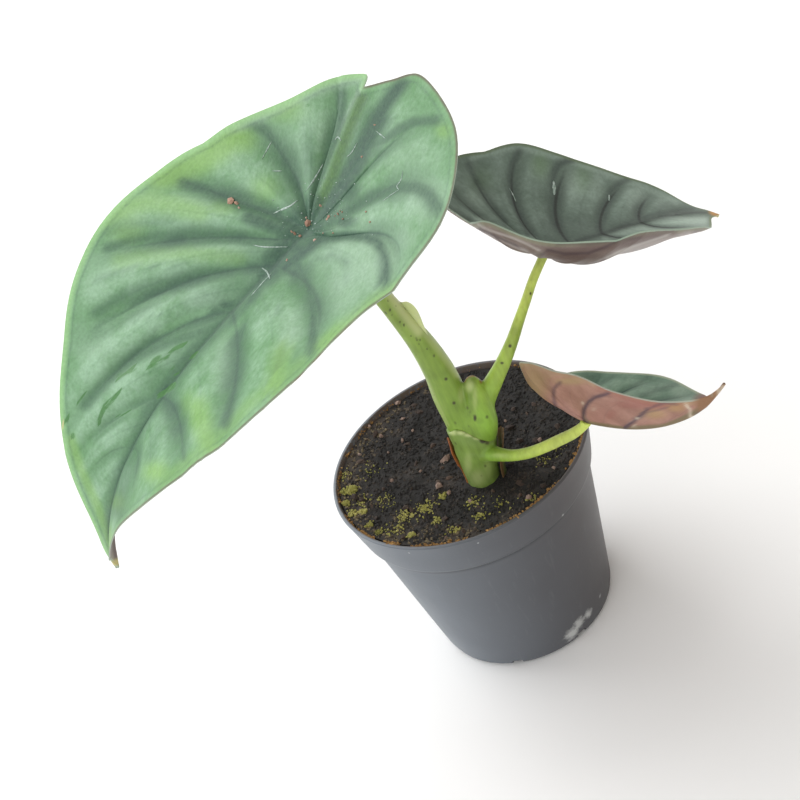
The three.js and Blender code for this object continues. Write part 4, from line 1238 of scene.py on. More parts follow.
def half_blade(leaf, half):
    """One half as a sheet, with the notes that its materials read."""
    bays = len(half["veins"]) + 1
    columns = bays * STEPS_PER_BAY
    kept = {}

    def rule(u, rho):
        even = u * bays
        bay = np.minimum(np.floor(even + 1e-6), bays - 1)
        part = np.clip(even - bay, 0, 1)
        v = bay + part - 0.075 * np.sin(math.tau * part)
        flat = flat_point(half, rho, place_at(half, v, rho))
        points = blade_point(leaf, half, flat)
        x, y = flat[:, 0], flat[:, 1]
        bay = np.minimum(np.floor(v), bays - 1)
        low = flat_point(half, rho, place_at(half, bay, rho))
        high = flat_point(half, rho, place_at(half, bay + 1, rho))
        span = np.linalg.norm(high - low, axis=1)
        # Narrow bays stay flat, and each bay counts where it is widest
        middle = np.full_like(rho, 0.65)
        widest = np.linalg.norm(flat_point(half, middle, place_at(half, bay + 1, middle))
                                - flat_point(half, middle, place_at(half, bay, middle)), axis=1)
        narrow, roomy = QUILT_SPAN[0] * leaf["length"], QUILT_SPAN[1] * leaf["length"]
        room = np.clip((widest - narrow) / (roomy - narrow), 0.08, 1)
        # Towards the tip the blade is flat
        room *= np.clip((TAIL[1] - x / half["outline"][-1][0]) / (TAIL[1] - TAIL[0]), 0.04, 1)
        # The bay behind the stalk is one bulge across both halves
        behind = v < 1
        bulge = np.abs(np.sin(math.pi * np.where(behind, (v + 1) / 2, v))) ** VALLEY_SOFTNESS
        fade = np.sin(math.pi * QUILT_REACH * rho) ** QUILT_ROUNDNESS
        calm = 1 + (half.get("calm", 1) - 1) * np.minimum(1, y / CALM_WIDTH)
        lift = leaf["quilting"] * (bulge - QUILT_BALANCE) * fade * room * calm
        # Behind the stalk the fold between the halves is rounded off
        fold = sum(math.tan(math.radians(one["rise"])) for one in leaf["halves"])
        width = FOLD_WIDTH * np.clip(-x / FOLD_WIDTH, 1e-3, 1)
        lift += fold * np.clip(width - y, 0, None) ** 2 / (4 * width)
        vein = np.where(behind, 1 - v, np.minimum(v - bay, bay + 1 - v)) * span
        reach = np.minimum(leaf["valley_width"], 0.48 * span) + 1e-3
        depth = np.clip(1 - vein / reach, 0, 1)
        valley = depth ** 2 * (3 - 2 * depth) * np.clip((0.98 - rho) / 0.4, 0, 1)
        margin = spline(half["outline"], np.linspace(0, 1, 400))
        gap = np.linalg.norm(flat[:, None, :] - margin[None], axis=2).min(axis=1)
        kept.update(
            flat=np.column_stack([x, y * half["side"], v]), rho=rho, bulge=bulge * fade, margin=gap,
            vein=vein, valley=valley * (0.15 + 0.85 * room) * np.clip(span / 7, 0.2, 1),
            thin=np.abs(v - bay - 0.5) * span,
            rib=y + 3 * np.clip(-x / 2, 0, 1), crease=y + 3 * np.clip((x + 7) / 3, 0, 1),
            side=np.clip(y / 3, 0, 1) * half["side"],
        )
        return points + upper_way(leaf, half, flat) * lift[:, None]

    piece, _, _ = sheet("half", columns, STEPS_ACROSS, rule)
    for name, values in kept.items():
        note(piece, name, values)
    return piece


# %% Join the halves
def grow_blade(name, leaf):
    """Both halves joined at the midrib, upper side up."""
    blade = join(name, *[half_blade(leaf, half) for half in leaf["halves"]])
    tidy(blade, 3e-6, outward=False)
    only(blade)
    normal = Vector(blade_axes(leaf)[2])
    bpy.ops.object.mode_set(mode="EDIT")
    bpy.ops.mesh.select_all(action="DESELECT")
    bpy.ops.object.mode_set(mode="OBJECT")
    for face in blade.data.polygons:
        face.select = face.normal.dot(normal) < 0
    bpy.ops.object.mode_set(mode="EDIT")
    bpy.ops.mesh.flip_normals()
    bpy.ops.mesh.select_all(action="DESELECT")
    bpy.ops.object.mode_set(mode="OBJECT")
    return blade


# %% [markdown]
# The three leaves share the rule and differ in their numbers: how they hang,
# their outlines, and where the veins start, bow and end along the outline.

# %% The large leaf
LARGE_LEAF = dict(
    attach=(-7.84, -14.33, 122.82), heading=195.8, pitch=16.3, roll=-20.35, length=121,
    droop=0.004, droop_growth=0.0001, back_bend=0.0069, twist=-10,
    sway=-0.326, sway_back=-0.55, sway_tip=0.331, curl_growth=0.097, rise_growth=1.2, quilting=1.3,
    valley_width=5.5,
    halves=[
        dict(
            side=1, rise=21.9, curl=0.0018,
            outline=[
                [-28.4, 0], [-32.2, 6.4], [-35.2, 15.7], [-26.6, 34], [-12.3, 41.7], [3.8, 35.8],
                [29.2, 35.2], [49, 24.9], [65, 12.8], [78.5, 6.5], [83.5, 2.2], [88.9, 0],
            ],
            veins=[
                [0.2, 0.185, 0.155], [0.27, 0.225, 0.24], [0.42, 0.297, 0.345], [0.445, 0.37, 0.44],
                [0.5, 0.487, 0.51], [0.585, 0.58, 0.573], [0.725, 0.66, 0.61], [0.805, 0.74, 0.71],
                [0.87, 0.83, 0.81],
            ],
        ),
        dict(
            side=-1, rise=4, curl=-0.0014,
            outline=[
                [-28.4, 0], [-31, 1.2], [-26.6, 8.6], [-17.7, 16.4], [-4.1, 29.9], [10, 36.1],
                [30.2, 35.8], [52.3, 23.2], [66.8, 14.2], [77.8, 5], [85, 1.9], [88.9, 0],
            ],
            veins=[
                [0.16, 0.14, 0.17], [0.26, 0.3, 0.33], [0.42, 0.445, 0.46], [0.445, 0.52, 0.553],
                [0.5, 0.583, 0.615], [0.585, 0.648, 0.715], [0.725, 0.733, 0.745], [0.805, 0.77, 0.78],
                [0.87, 0.84, 0.85],
            ],
        ),
    ],
)

# %% The middle leaf
MIDDLE_VEINS = [
    [0.16, 0.17, 0.17], [0.27, 0.28, 0.295], [0.34, 0.36, 0.37], [0.43, 0.43, 0.475],
    [0.505, 0.54, 0.575], [0.61, 0.64, 0.675], [0.73, 0.715, 0.73], [0.84, 0.82, 0.82],
]
MIDDLE_LEAF = dict(
    attach=(32.33, -15.67, 97.4), heading=26.1, pitch=24.9, roll=27.2, length=70.2,
    droop=-0.0079, droop_growth=0.0003, back_bend=-0.033, twist=7,
    sway=0, sway_back=0.473, sway_tip=0, curl_growth=0.2, rise_growth=0, quilting=0.8,
    valley_width=3.4,
    halves=[
        dict(
            side=1, rise=-17.1, curl=0.0405, veins=MIDDLE_VEINS,
            outline=[
                [-16.5, 0], [-19.2, 3.6], [-18.4, 9.8], [-14, 16.8], [-5.4, 24.6], [7, 26.3],
                [17, 21.8], [28.2, 15.1], [39, 8.9], [44.3, 2.9], [48.4, 1.2], [51.6, 0],
            ],
        ),
        dict(
            side=-1, calm=0.35, rise=7.9, curl=0.0609, veins=MIDDLE_VEINS,
            outline=[
                [-16.5, 0], [-19, 3.5], [-20.6, 8.3], [-13.5, 12.8], [-4.4, 19.6], [5.7, 22],
                [17.2, 18.8], [29.1, 14.5], [38.4, 7.5], [44.6, 2.7], [48.4, 1.1], [51.6, 0],
            ],
        ),
    ],
)

# %% The small leaf
SMALL_VEINS = [
    [0.16, 0.17, 0.17], [0.27, 0.28, 0.3], [0.38, 0.39, 0.465], [0.44, 0.52, 0.6],
    [0.59, 0.665, 0.71], [0.72, 0.77, 0.8], [0.84, 0.86, 0.87],
]
SMALL_LEAF = dict(
    attach=(25.66, -28.88, 65.56), heading=-59.2, pitch=-7.05, roll=-35, length=58.4,
    droop=-0.0095, droop_growth=-0.0002, back_bend=-0.0257, twist=-2.2,
    sway=-0.204, sway_back=0.021, sway_tip=0, curl_growth=0.17, rise_growth=-0.625, quilting=0.6,
    valley_width=2.4,
    halves=[
        dict(
            side=1, rise=22.7, curl=0.0057, veins=SMALL_VEINS,
            outline=[
                [-13.7, 0], [-16, 2.5], [-16.1, 7.9], [-11.9, 12.9], [-3.8, 17], [5.1, 19.1],
                [14.5, 16.7], [24.1, 12.3], [31.6, 5.4], [36.6, 1.5], [40.3, 0.3], [43.4, 0],
            ],
        ),
        dict(
            side=-1, rise=33.6, curl=0.0143, veins=SMALL_VEINS,
            outline=[
                [-13.7, 0], [-15.7, 2.6], [-15.2, 7.5], [-13.1, 13.6], [-4.1, 17.7], [5.3, 18.3],
                [15.4, 17.6], [23.4, 12], [31.5, 5.7], [37, 1.6], [40.6, 0.3], [43.4, 0],
            ],
        ),
    ],
)

# %% Grow the three leaves
blades = {
    "leaf_large": grow_blade("leaf_large", LARGE_LEAF),
    "leaf_middle": grow_blade("leaf_middle", MIDDLE_LEAF),
    "leaf_small": grow_blade("leaf_small", SMALL_LEAF),
}
print("faces:", [len(blade.data.polygons) for blade in blades.values()])

# %% [markdown]
# ## Touches on the leaves
# A living leaf isn't even: there are fresher yellow-green patches between the
# veins, rubbed glossy bruises and dry tips. Painted shade, painted light that lifts
# some of the darkness off again, and pale painted highlights and sheen are added too.
# They are dabbed on, each where it shows in the picture: [x, y, width, height, strength].

# %% Patches on the leaves
# shade is painted shade over the dark colour along the veins, lift is painted light that takes darkness away,
# pale is painted highlights and sheen, and glint is painted highlights on the underside
TOUCHES = {
    "leaf_large": {
        "fresh": [
            (128, 232, 18, 12, 0.5), (285, 112, 22, 12, 0.4), (244, 140, 14, 14, 0.7),
            (222, 208, 16, 8, 0.5), (265, 190, 16, 14, 0.5), (292, 106, 10, 9, 0.7), (444, 132, 8, 8, 0.6),
            (157, 472, 13, 11, 0.8), (190, 405, 9, 14, 0.5), (335, 172, 7, 16, 0.5), (119, 548, 7, 14, 1.0),
            (118, 502, 8, 8, 0.6),
        ],
        "bruise": [
            (74, 436, 4, 4, 1.2), (291, 117, 2.5, 2.5, 1.0), (308, 106, 3, 3, 1.0), (257, 373, 3, 3, 0.6),
            (176, 371, 7, 4, 1.6), (200, 352, 3, 2.5, 1.9), (160, 358, 14, 5, 0.9), (135, 372, 14, 6, 0.8),
        ],
        "shade": [
            (306, 226, 32, 28, 0.95), (240, 300, 22, 12, 0.3), (150, 400, 12, 10, 0.4),
            (288, 185, 16, 20, 0.35), (348, 190, 15, 20, 0.88), (376, 146, 12, 20, 0.55),
            (345, 108, 8, 20, 0.3), (308, 165, 10, 36, 0.5), (300, 250, 20, 10, 0.92),
            (228, 306, 14, 8, 0.85), (262, 283, 10, 8, 0.85), (172, 384, 14, 8, 0.5),
            (345, 222, 14, 8, 0.85), (392, 200, 16, 6, 0.4), (198, 352, 4, 3, 1.0), (166, 388, 5, 3, 1.0),
            (189, 355, 3, 2, 0.8), (176, 372, 4, 2.5, 0.8),
        ],
        "lift": [(322, 278, 9, 22, 0.6), (329, 286, 10, 20, 0.6), (297, 350, 14, 12, 0.5),
                 (229, 139, 18, 9, 0.7), (160, 187, 16, 8, 0.6), (225, 264, 20, 4, 0.5),
                 (121, 310, 12, 4, 0.4), (125, 412, 14, 6, 0.5), (180, 398, 8, 5, 0.4),
                 (262, 188, 12, 14, 0.3)],
        "dry": [(116, 562, 4, 4, 1.0), (63, 425, 2, 2.5, 0.7)],
        "pale": [
            (430, 200, 30, 26, 0.4), (365, 255, 48, 42, 0.5), (415, 165, 30, 28, 0.2),
            (345, 300, 20, 20, 0.4), (340, 285, 14, 20, 0.5), (400, 240, 18, 14, 0.45),
            (292, 330, 12, 22, 0.35), (345, 262, 14, 10, 0.4), (225, 360, 8, 24, 0.35),
            (215, 300, 30, 8, 0.3), (100, 350, 22, 10, 0.25),
        ],
    },
    "leaf_middle": {
        "fresh": [(480, 182, 12, 14, 0.25), (540, 165, 9, 14, 0.5), (582, 178, 10, 16, 0.35),
                  (714, 210, 14, 7, 1.0)],
        "bruise": [(505, 175, 12, 9, 0.2)],
        "shade": [(570, 226, 40, 12, 0.4), (500, 210, 30, 12, 0.12), (458, 196, 8, 12, 0.15),
                  (664, 212, 14, 8, 0.3)],
        "dry": [(717, 213, 8, 4, 1.1)],
        "pale": [
            (480, 222, 8, 5, 0.6), (572, 185, 9, 18, 0.4), (596, 186, 8, 18, 0.35), (636, 196, 12, 12, 0.4),
            (660, 202, 12, 8, 0.15), (478, 200, 16, 13, 0.35), (490, 153, 14, 4, 0.35),
            (470, 174, 5, 12, 0.2),
        ],
        "blush": [(574, 254, 26, 6, 1.0)],
        "tan": [(541, 253, 5, 5, 0.5)],
    },
    "leaf_small": {
        "fresh": [(535, 385, 14, 22, 0.7), (572, 380, 18, 4, 0.8), (548, 374, 12, 6, 0.4)],
        "bruise": [(600, 380, 14, 5, 0.3)],
        "shade": [(590, 380, 14, 8, 0.5)],
        "dry": [(708, 402, 14, 10, 0.9), (719, 391, 9, 8, 1.0), (726, 385, 6, 6, 1.0)],
        "pale": [(680, 391, 10, 7, 0.6), (640, 384, 10, 4, 0.35), (655, 394, 10, 4, 0.4),
                 (616, 384, 8, 4, 0.25)],
        "blush": [(640, 404, 26, 4, 0.6), (600, 414, 20, 8, 0.2), (700, 410, 8, 8, 0.3)],
        "tan": [(655, 413, 12, 5, 0.6), (676, 407, 10, 4, 0.6), (588, 423, 6, 3, 0.6),
                (724, 387, 5, 5, 1.0)],
        "glint": [(637.5, 417, 1.5, 1.5, 1.0), (583.5, 402, 1.5, 1.5, 0.7), (594, 408, 2, 2, 0.3),
                  (635, 424, 2, 1.5, 0.5)],
    },
}

# %% Strokes along the folds: a path of pixels, its half width and its strength
# The strokes paint the same way: shade is painted shade, with the painted shadow under the fold of the middle
# leaf, lift is painted light, pale is painted highlight, and glint is painted highlight, except at the tail
# of the small leaf, where it gives the pale dry tip
STROKES = {
    "leaf_large": {
        "shade": [
            ([(318, 205), (300, 225), (285, 248), (268, 272)], 18, 0.92),
            ([(268, 272), (245, 298), (222, 324), (198, 348), (178, 372), (163, 392), (148, 414)], 10, 0.65),
            ([(148, 414), (138, 434), (130, 460), (124, 488), (118, 512)], 9, 0.5),
            ([(304, 208), (298, 182), (288, 160), (276, 142), (264, 130), (252, 123)], 8, 0.72),
            ([(288, 222), (262, 211), (240, 205), (222, 195), (200, 188), (184, 184)], 8, 0.8),
            ([(285, 245), (250, 243), (215, 238), (190, 236), (160, 237), (130, 241), (108, 249)], 6, 0.65),
            ([(262, 272), (235, 273), (205, 275), (180, 278), (150, 286), (125, 296), (108, 306), (96, 314)],
             7, 0.55),
            ([(222, 325), (195, 335), (166, 344), (142, 354), (125, 366), (105, 384), (86, 405)], 7.5, 0.62),
            ([(312, 198), (325, 165), (335, 140), (341, 120), (342, 100), (341, 90)], 7, 0.75),
            ([(332, 206), (350, 172), (362, 150), (370, 135), (378, 118), (388, 103), (402, 84)], 8.5, 0.93),
            ([(362, 152), (385, 140), (400, 130), (415, 123), (436, 121)], 6, 0.7),
            ([(326, 224), (355, 207), (375, 197), (400, 189), (416, 188), (429, 195), (437, 208)], 9, 0.75),
            ([(325, 240), (345, 236), (365, 237), (378, 242), (385, 256), (387, 270), (385, 282)], 6.5, 0.88),
            ([(288, 258), (300, 268), (308, 282), (313, 300), (314, 320), (313, 340), (311, 352)], 6.5, 0.8),
            ([(312, 262), (330, 258), (345, 265), (352, 282)], 4.5, 0.6),
            ([(282, 298), (277, 320), (280, 345), (278, 370)], 3, 0.35),
            ([(262, 285), (252, 300), (243, 320), (240, 345), (238, 370), (234, 395), (226, 424)], 7, 0.75),
            ([(164, 402), (174, 410), (181, 424), (184, 440), (184, 458)], 4.5, 0.55),
            ([(322, 205), (332, 180), (341, 155), (350, 130), (362, 100)], 8, 0.72),
            ([(324, 215), (341, 190), (356, 165), (368, 140), (380, 118)], 13, 0.95),
            ([(300, 236), (275, 228), (250, 218)], 9, 0.85),
            ([(182, 315), (150, 315), (122, 326), (92, 350)], 1.8, 0.3),
            ([(240, 262), (205, 262), (170, 266), (130, 268), (95, 282)], 2, 0.28),
            ([(285, 225), (300, 215), (318, 214)], 8, 0.9), ([(324, 237), (304, 253), (286, 268)], 8, 0.95),
            ([(110, 231), (140, 225), (172, 223)], 7, 0.3), ([(128, 414), (112, 424), (96, 436)], 6, 0.3),
            ([(163, 420), (155, 440), (150, 458)], 7, 0.25),
        ],
        "lift": [
            ([(206, 311), (196, 314), (178, 322), (160, 331)], 4.5, 0.85),
            ([(170, 297), (150, 303), (133, 311), (105, 327)], 4, 0.5),
            ([(254, 308), (231, 334), (208, 359), (188, 383)], 4.5, 0.6),
            ([(287, 280), (266, 302)], 5, 0.5),
            ([(230, 130), (262, 115), (300, 97), (330, 85), (362, 77)], 8, 0.7),
            ([(88, 505), (100, 530), (110, 552)], 6, 0.7), ([(92, 322), (84, 332)], 6, 0.6),
        ],
        "fresh": [
            ([(160, 177), (180, 172), (200, 162), (215, 152), (236, 138)], 15, 0.8),
            ([(106, 218), (130, 208), (150, 202), (175, 206), (200, 212)], 11, 0.6),
            ([(120, 261), (150, 256), (180, 253), (210, 255), (240, 258)], 8, 0.45),
            ([(400, 288), (380, 299), (360, 317), (340, 331), (320, 349)], 8, 0.7),
            ([(276, 388), (279, 367), (283, 350)], 9, 0.75),
            ([(210, 446), (204, 430), (198, 408)], 12, 0.7),
            ([(305, 362), (280, 382), (250, 405), (230, 428), (205, 450), (182, 468), (160, 484)], 7, 0.42),
            ([(320, 205), (331, 180), (341, 153), (351, 125), (361, 100)], 5, 1.0),
            ([(72, 440), (82, 470), (96, 500), (108, 530), (112, 550)], 5, 0.6),
        ],
        "bruise": [
            ([(122, 391), (113, 400), (106, 406), (102, 414), (99, 423)], 2.9, 1.3),
            ([(116, 417), (125, 414), (132, 410)], 1.9, 1.2),
            ([(160, 396), (167, 392), (173, 387)], 2.8, 1.9), ([(71, 415), (66, 423)], 2.8, 1.2),
            ([(77, 404), (83, 397), (89, 391)], 1.8, 1.1), ([(172, 352), (181, 348), (186, 346)], 2.8, 1.6),
            ([(118, 379), (128, 372), (136, 367)], 2.6, 1.4),
            ([(188, 360), (194, 357), (198, 352)], 2.2, 1.7),
            ([(150, 366), (160, 360), (168, 357)], 3, 1.3),
        ],
        "pale": [
            ([(338, 136), (345, 119), (355, 100), (364, 85)], 2, 0.6),
            ([(236, 127), (262, 116), (300, 98), (330, 86), (362, 78)], 7, 0.45),
        ],
        "blush": [([(124, 524), (117, 532), (113, 550)], 5, 0.8)],
    },
    "leaf_middle": {
        "shade": [
            ([(572, 160), (560, 163), (554, 171), (552, 182), (553, 200), (556, 225)], 4, 0.7),
            ([(627, 180), (618, 184), (610, 192), (606, 205), (604, 222)], 4, 0.65),
            ([(518, 152), (512, 165), (510, 180), (512, 196), (518, 214), (528, 234)], 4.5, 0.65),
            ([(468, 165), (474, 178), (482, 192), (492, 206), (505, 222)], 4.5, 0.6),
            ([(692, 212), (660, 215), (635, 222), (610, 233)], 5, 0.7),
        ],
        "pale": [
            ([(702, 221), (680, 221), (655, 225)], 7, 1.0), ([(655, 226), (630, 232), (606, 238)], 4, 0.9),
            ([(478, 221), (505, 234), (535, 241)], 3, 0.6),
            ([(472, 158), (495, 150), (520, 147), (560, 158), (600, 172), (640, 187), (676, 202)], 4, 0.4),
        ],
        "blush": [([(545, 252), (575, 250), (600, 247), (625, 242), (650, 236), (672, 232)], 5, 0.75)],
        "tan": [([(616, 254), (640, 247), (665, 240), (690, 234)], 3.5, 0.9),
                ([(486, 233), (505, 240), (526, 250)], 2.5, 0.7)],
        "arc": [
            ([(480, 228), (500, 237), (520, 246)], 1.4, 0.6),
            ([(556, 244), (590, 244), (640, 237)], 1.2, 0.4),
            ([(548, 249), (566, 253), (588, 252), (606, 246), (622, 239)], 1.5, 0.55),
        ],
        "glint": [
            ([(478, 224), (492, 230), (510, 236), (525, 242), (539, 249)], 1.2, 0.5),
            ([(606, 257), (622, 249), (640, 243), (668, 234)], 1.3, 0.5),
        ],
    },
    "leaf_small": {
        "arc": [
            ([(560, 382), (555, 387), (554, 395), (556, 404), (560, 411)], 2, 0.6),
            ([(608, 393), (596, 396), (589, 401), (585, 408), (584, 416), (588, 421)], 2.1, 0.85),
            ([(648, 408), (640, 415), (633, 421), (626, 425)], 1.9, 0.85),
            ([(648, 408), (655, 405), (665, 403), (677, 404)], 1.3, 0.5),
            ([(641, 417), (648, 411), (658, 409), (668, 406)], 1.1, 0.4),
            ([(700, 403), (706, 397), (713, 393)], 1.1, 0.5),
            ([(696, 411), (704, 405), (712, 399)], 1.1, 0.5),
        ],
        "blush": [
            ([(600, 386), (620, 394), (645, 403), (680, 405)], 4, 0.7),
            ([(621, 402), (614, 408), (610, 417)], 2, 0.5), ([(648, 408), (664, 407), (680, 404)], 2, 0.5),
        ],
        "shade": [
            ([(650, 377), (634, 387), (622, 394)], 2.4, 0.5),
            ([(678, 385), (655, 392), (640, 398)], 2.4, 0.5), ([(614, 377), (600, 385)], 2.4, 0.5),
        ],
        "glint": [
            ([(686, 404), (690, 408), (691, 413), (689, 418)], 1.3, 0.8),
            ([(719, 391), (724, 386)], 2.6, 0.7),
        ],
        "tan": [([(716, 394), (721, 389), (727, 385)], 3, 1.0)],
    },
}

# %% Dab the touches on the leaves
for name, blade in blades.items():
    for channel in ("fresh", "bruise", "shade", "lift", "dry", "pale", "blush", "tan", "arc", "glint"):
        dab(blade, channel, TOUCHES[name].get(channel, ()), STROKES[name].get(channel, ()))
    print(name, len(blade.data.vertices), "points")

# %% [markdown]
# ## Leaf finishes
# The upper side is a satin skin over air-filled cells, which scatter light and
# look silver. Along the veins the tissue is dense, so it is dark blue-green, and
# the line of the vein itself is darker still. Near the margin runs a fine
# collecting vein with a fresher band outside it. The underside is thinner
# skinned and coloured by red-purple pigment, with the veins raised and darkest.

# %% Upper side of a leaf
def upper_skin(name, tones, line_strength, painted_sheen_by_half):
    """Silver bulges, dark valleys, vein lines, a margin band and the dabbed touches, with painted shade and
    painted highlights.
    """
    material, tree = blank(name)
    notes = {key: put(tree, "Attribute", attribute_name=key, out="Fac") for key in (
        "rho", "bulge", "vein", "valley", "thin", "margin", "rib", "crease", "side",
        "fresh", "bruise", "shade", "lift", "dry", "pale")}
    # Soft masks from the notes: where each one starts, where it is full, and how strong it gets
    soft = {}
    for mask, note_name, start, full, most in (
        ("low", "bulge", 0.75, 0.2, 0.5), ("inner", "rho", 0.5, 0.03, 0.4),
        ("hub", "rib", 3.2, 0.2, 0.6), ("vein_line", "vein", 0.6, 0.1, line_strength),
        ("thin_line", "thin", 0.5, 0.05, 0.12), ("rib_line", "rib", 0.9, 0.1, 0.36),
        ("crease", "crease", 0.9, 0.2, 0.12), ("band", "margin", tones["band"], 0.3, 0.8),
    ):
        steps = {"Value": notes[note_name], "From Min": start, "From Max": full, "To Max": most}
        soft[mask] = put(tree, "MapRange", steps, **SOFT)
    flat = put(tree, "Attribute", attribute_name="flat", out="Vector")
    on_leaf = put(tree, "VectorMath", {0: flat, 1: (1, 1, 0)}, **TIMES)
    # Cloudy silver, 8 mm and 1.2 mm across
    cloud = put(tree, "TexNoise", {"Vector": on_leaf, "Scale": 0.12, "Detail": 3.0, "Roughness": 0.6})
    grain = put(tree, "TexNoise", {"Vector": on_leaf, "Scale": 0.85, "Detail": 3.0, "Roughness": 0.65})
    tone = put(tree, "Math", {0: grain, 1: 0.4, 2: cloud}, operation="MULTIPLY_ADD")
    # Painted sheen: the half on side -1 is toned more silver and the half on side +1 greener
    tone = put(tree, "Math", {0: notes["side"], 1: painted_sheen_by_half, 2: tone}, operation="MULTIPLY_ADD")
    colour = put(tree, "ValToRGB", {"Fac": tone}, ramp=[(0.47, tones["green"]), (0.87, tones["silver"])])
    # Low bulges keep the green, high ones are silver
    colour = put(tree, "Mix", {0: soft["low"], 6: colour, 7: tones["green"]}, **COLOURS)
    # Fresher green patches, and the pale touches, which are painted highlights and sheen
    for touch, most in (("fresh", 0.85), ("pale", 0.9)):
        much = put(tree, "Math", {0: notes[touch], 1: most}, **TIMES)
        colour = put(tree, "Mix", {0: much, 6: colour, 7: tones[touch]}, **COLOURS)
    # Towards the midrib all the tissue darkens, and the valleys are darkest; the dabbed shade adds painted
    # shade, broken up by the grain, and the dabbed lift is painted light that takes darkness away
    blotch = put(tree, "MapRange", {"Value": cloud, "From Min": 0.3, "From Max": 0.6,
                                    "To Min": 0.65, "To Max": 1.0})
    deep = put(tree, "Math", {0: notes["valley"], 1: blotch}, **TIMES)
    deep = put(tree, "Math", {0: deep, 1: 0.85}, **TIMES)
    wear_and_shade_grain = put(tree, "MapRange", {"Value": grain, "From Min": 0.35, "From Max": 0.65,
                                  "To Min": 0.88, "To Max": 1.05})
    shade = put(tree, "Math", {0: notes["shade"], 1: wear_and_shade_grain}, **TIMES)
    for mask in (soft["inner"], soft["hub"], shade):
        deep = put(tree, "Math", {0: deep, 1: mask}, operation="MAXIMUM")
    lifted = put(tree, "Math", {0: 1.0, 1: notes["lift"]}, operation="SUBTRACT")
    deep = put(tree, "Math", {0: deep, 1: lifted}, **TIMES)
    colour = put(tree, "Mix", {0: deep, 6: colour, 7: tones["valley"]}, **COLOURS)
    # Lines of the veins, 0.7 mm wide, and thinner ones between them
    sunk = put(tree, "MapRange", {"Value": notes["valley"], "From Min": 0.2, "From Max": 0.9})
    vein_line = put(tree, "Math", {0: soft["vein_line"], 1: sunk}, **TIMES)
    away = put(tree, "MapRange", {"Value": notes["rho"], "From Min": 0.9, "From Max": 0.5})
    thin_line = put(tree, "Math", {0: soft["thin_line"], 1: away}, **TIMES)
    near_edge = put(tree, "MapRange", {"Value": notes["margin"], "From Min": 1.4, "From Max": 1.8})
    far_edge = put(tree, "MapRange", {"Value": notes["margin"], "From Min": 2.4, "From Max": 1.8})
    collecting = put(tree, "Math", {0: near_edge, 1: far_edge}, **TIMES)
    broken = put(tree, "MapRange", {"Value": grain, "From Min": 0.35, "From Max": 0.6,
                                    "To Max": tones["collecting"]})
    collecting = put(tree, "Math", {0: collecting, 1: broken}, **TIMES)
    # The band outside the collecting vein, and the reddish edge itself
    shy = put(tree, "MapRange", {"Value": notes["side"], "From Min": -0.5, "From Max": 0.5,
                                 "To Min": 1.0, "To Max": 0.22})
    band = put(tree, "Math", {0: soft["band"], 1: shy}, **TIMES)
    lip = put(tree, "MapRange", {"Value": notes["margin"], "From Min": 0.75, "From Max": 0.3, "To Max": 0.85})
    sunny = put(tree, "MapRange", {"Value": notes["side"], "From Min": -0.5, "From Max": 0.5,
                                   "To Min": tones["far_lip"]})
    lip = put(tree, "Math", {0: lip, 1: sunny}, **TIMES)
    for mask, layer in ((vein_line, "line"), (thin_line, "valley"), (soft["rib_line"], "line"),
                        (soft["crease"], "silver"), (band, "margin"), (collecting, "valley"), (lip, "lip")):
        colour = put(tree, "Mix", {0: mask, 6: colour, 7: tones[layer]}, **COLOURS)
    # Bruises: glossy darker green, about 1 mm wide and drawn out along the veins
    lane = put(tree, "SeparateXYZ", {0: flat}, out="Z")
    lane = put(tree, "Math", {0: lane, 1: 12.0}, **TIMES)
    outward = put(tree, "Math", {0: notes["rho"], 1: 11.0}, **TIMES)
    lanes = put(tree, "CombineXYZ", {"X": outward, "Y": lane})
    fleck = put(tree, "TexNoise", {"Vector": lanes, "Scale": 0.75, "Detail": 3.0, "Roughness": 0.65})
    ragged = put(tree, "Math", {0: notes["bruise"], 1: fleck}, **TIMES)
    bruise = put(tree, "MapRange", {"Value": ragged, "From Min": 0.32, "From Max": 0.5, "To Max": 0.85})
    colour = put(tree, "Mix", {0: bruise, 6: colour, 7: tones["bruise"]}, **COLOURS)
    withered = put(tree, "MapRange", {"Value": notes["dry"], "From Min": 0.15, "From Max": 0.7})
    colour = put(tree, "Mix", {0: withered, 6: colour, 7: tones["dry"]}, **COLOURS)
    # Fine cross veins between the main ones: ridges 0.6 mm apart
    crossing = put(tree, "Mapping", {"Vector": flat, "Scale": (1.0, 1.0, 0.15)})
    ridges = put(tree, "TexNoise", {"Vector": crossing, "Scale": 1.6, "Detail": 3.0})
    veiny = put(tree, "MapRange", {"Value": ridges, "From Min": 0.35, "From Max": 0.65,
                                   "To Min": 0.93, "To Max": 1.06})
    colour = put(tree, "Mix", {0: 1.0, 6: colour, 7: veiny}, blend_type="MULTIPLY", **COLOURS)
    bump = put(tree, "Bump", {"Height": ridges, "Strength": 0.5, "Distance": 0.00016})
    rough = put(tree, "MapRange", {"Value": bruise, "To Min": 0.52, "To Max": 0.3})
    skin = put(tree, "BsdfPrincipled", {
        "Base Color": colour, "Roughness": rough, "IOR": 1.42, "Specular IOR Level": tones["shine"],
        "Normal": bump, "Sheen Weight": 0.05, "Sheen Roughness": 0.5,
    })
    put(tree, "OutputMaterial", {"Surface": skin})
    return material


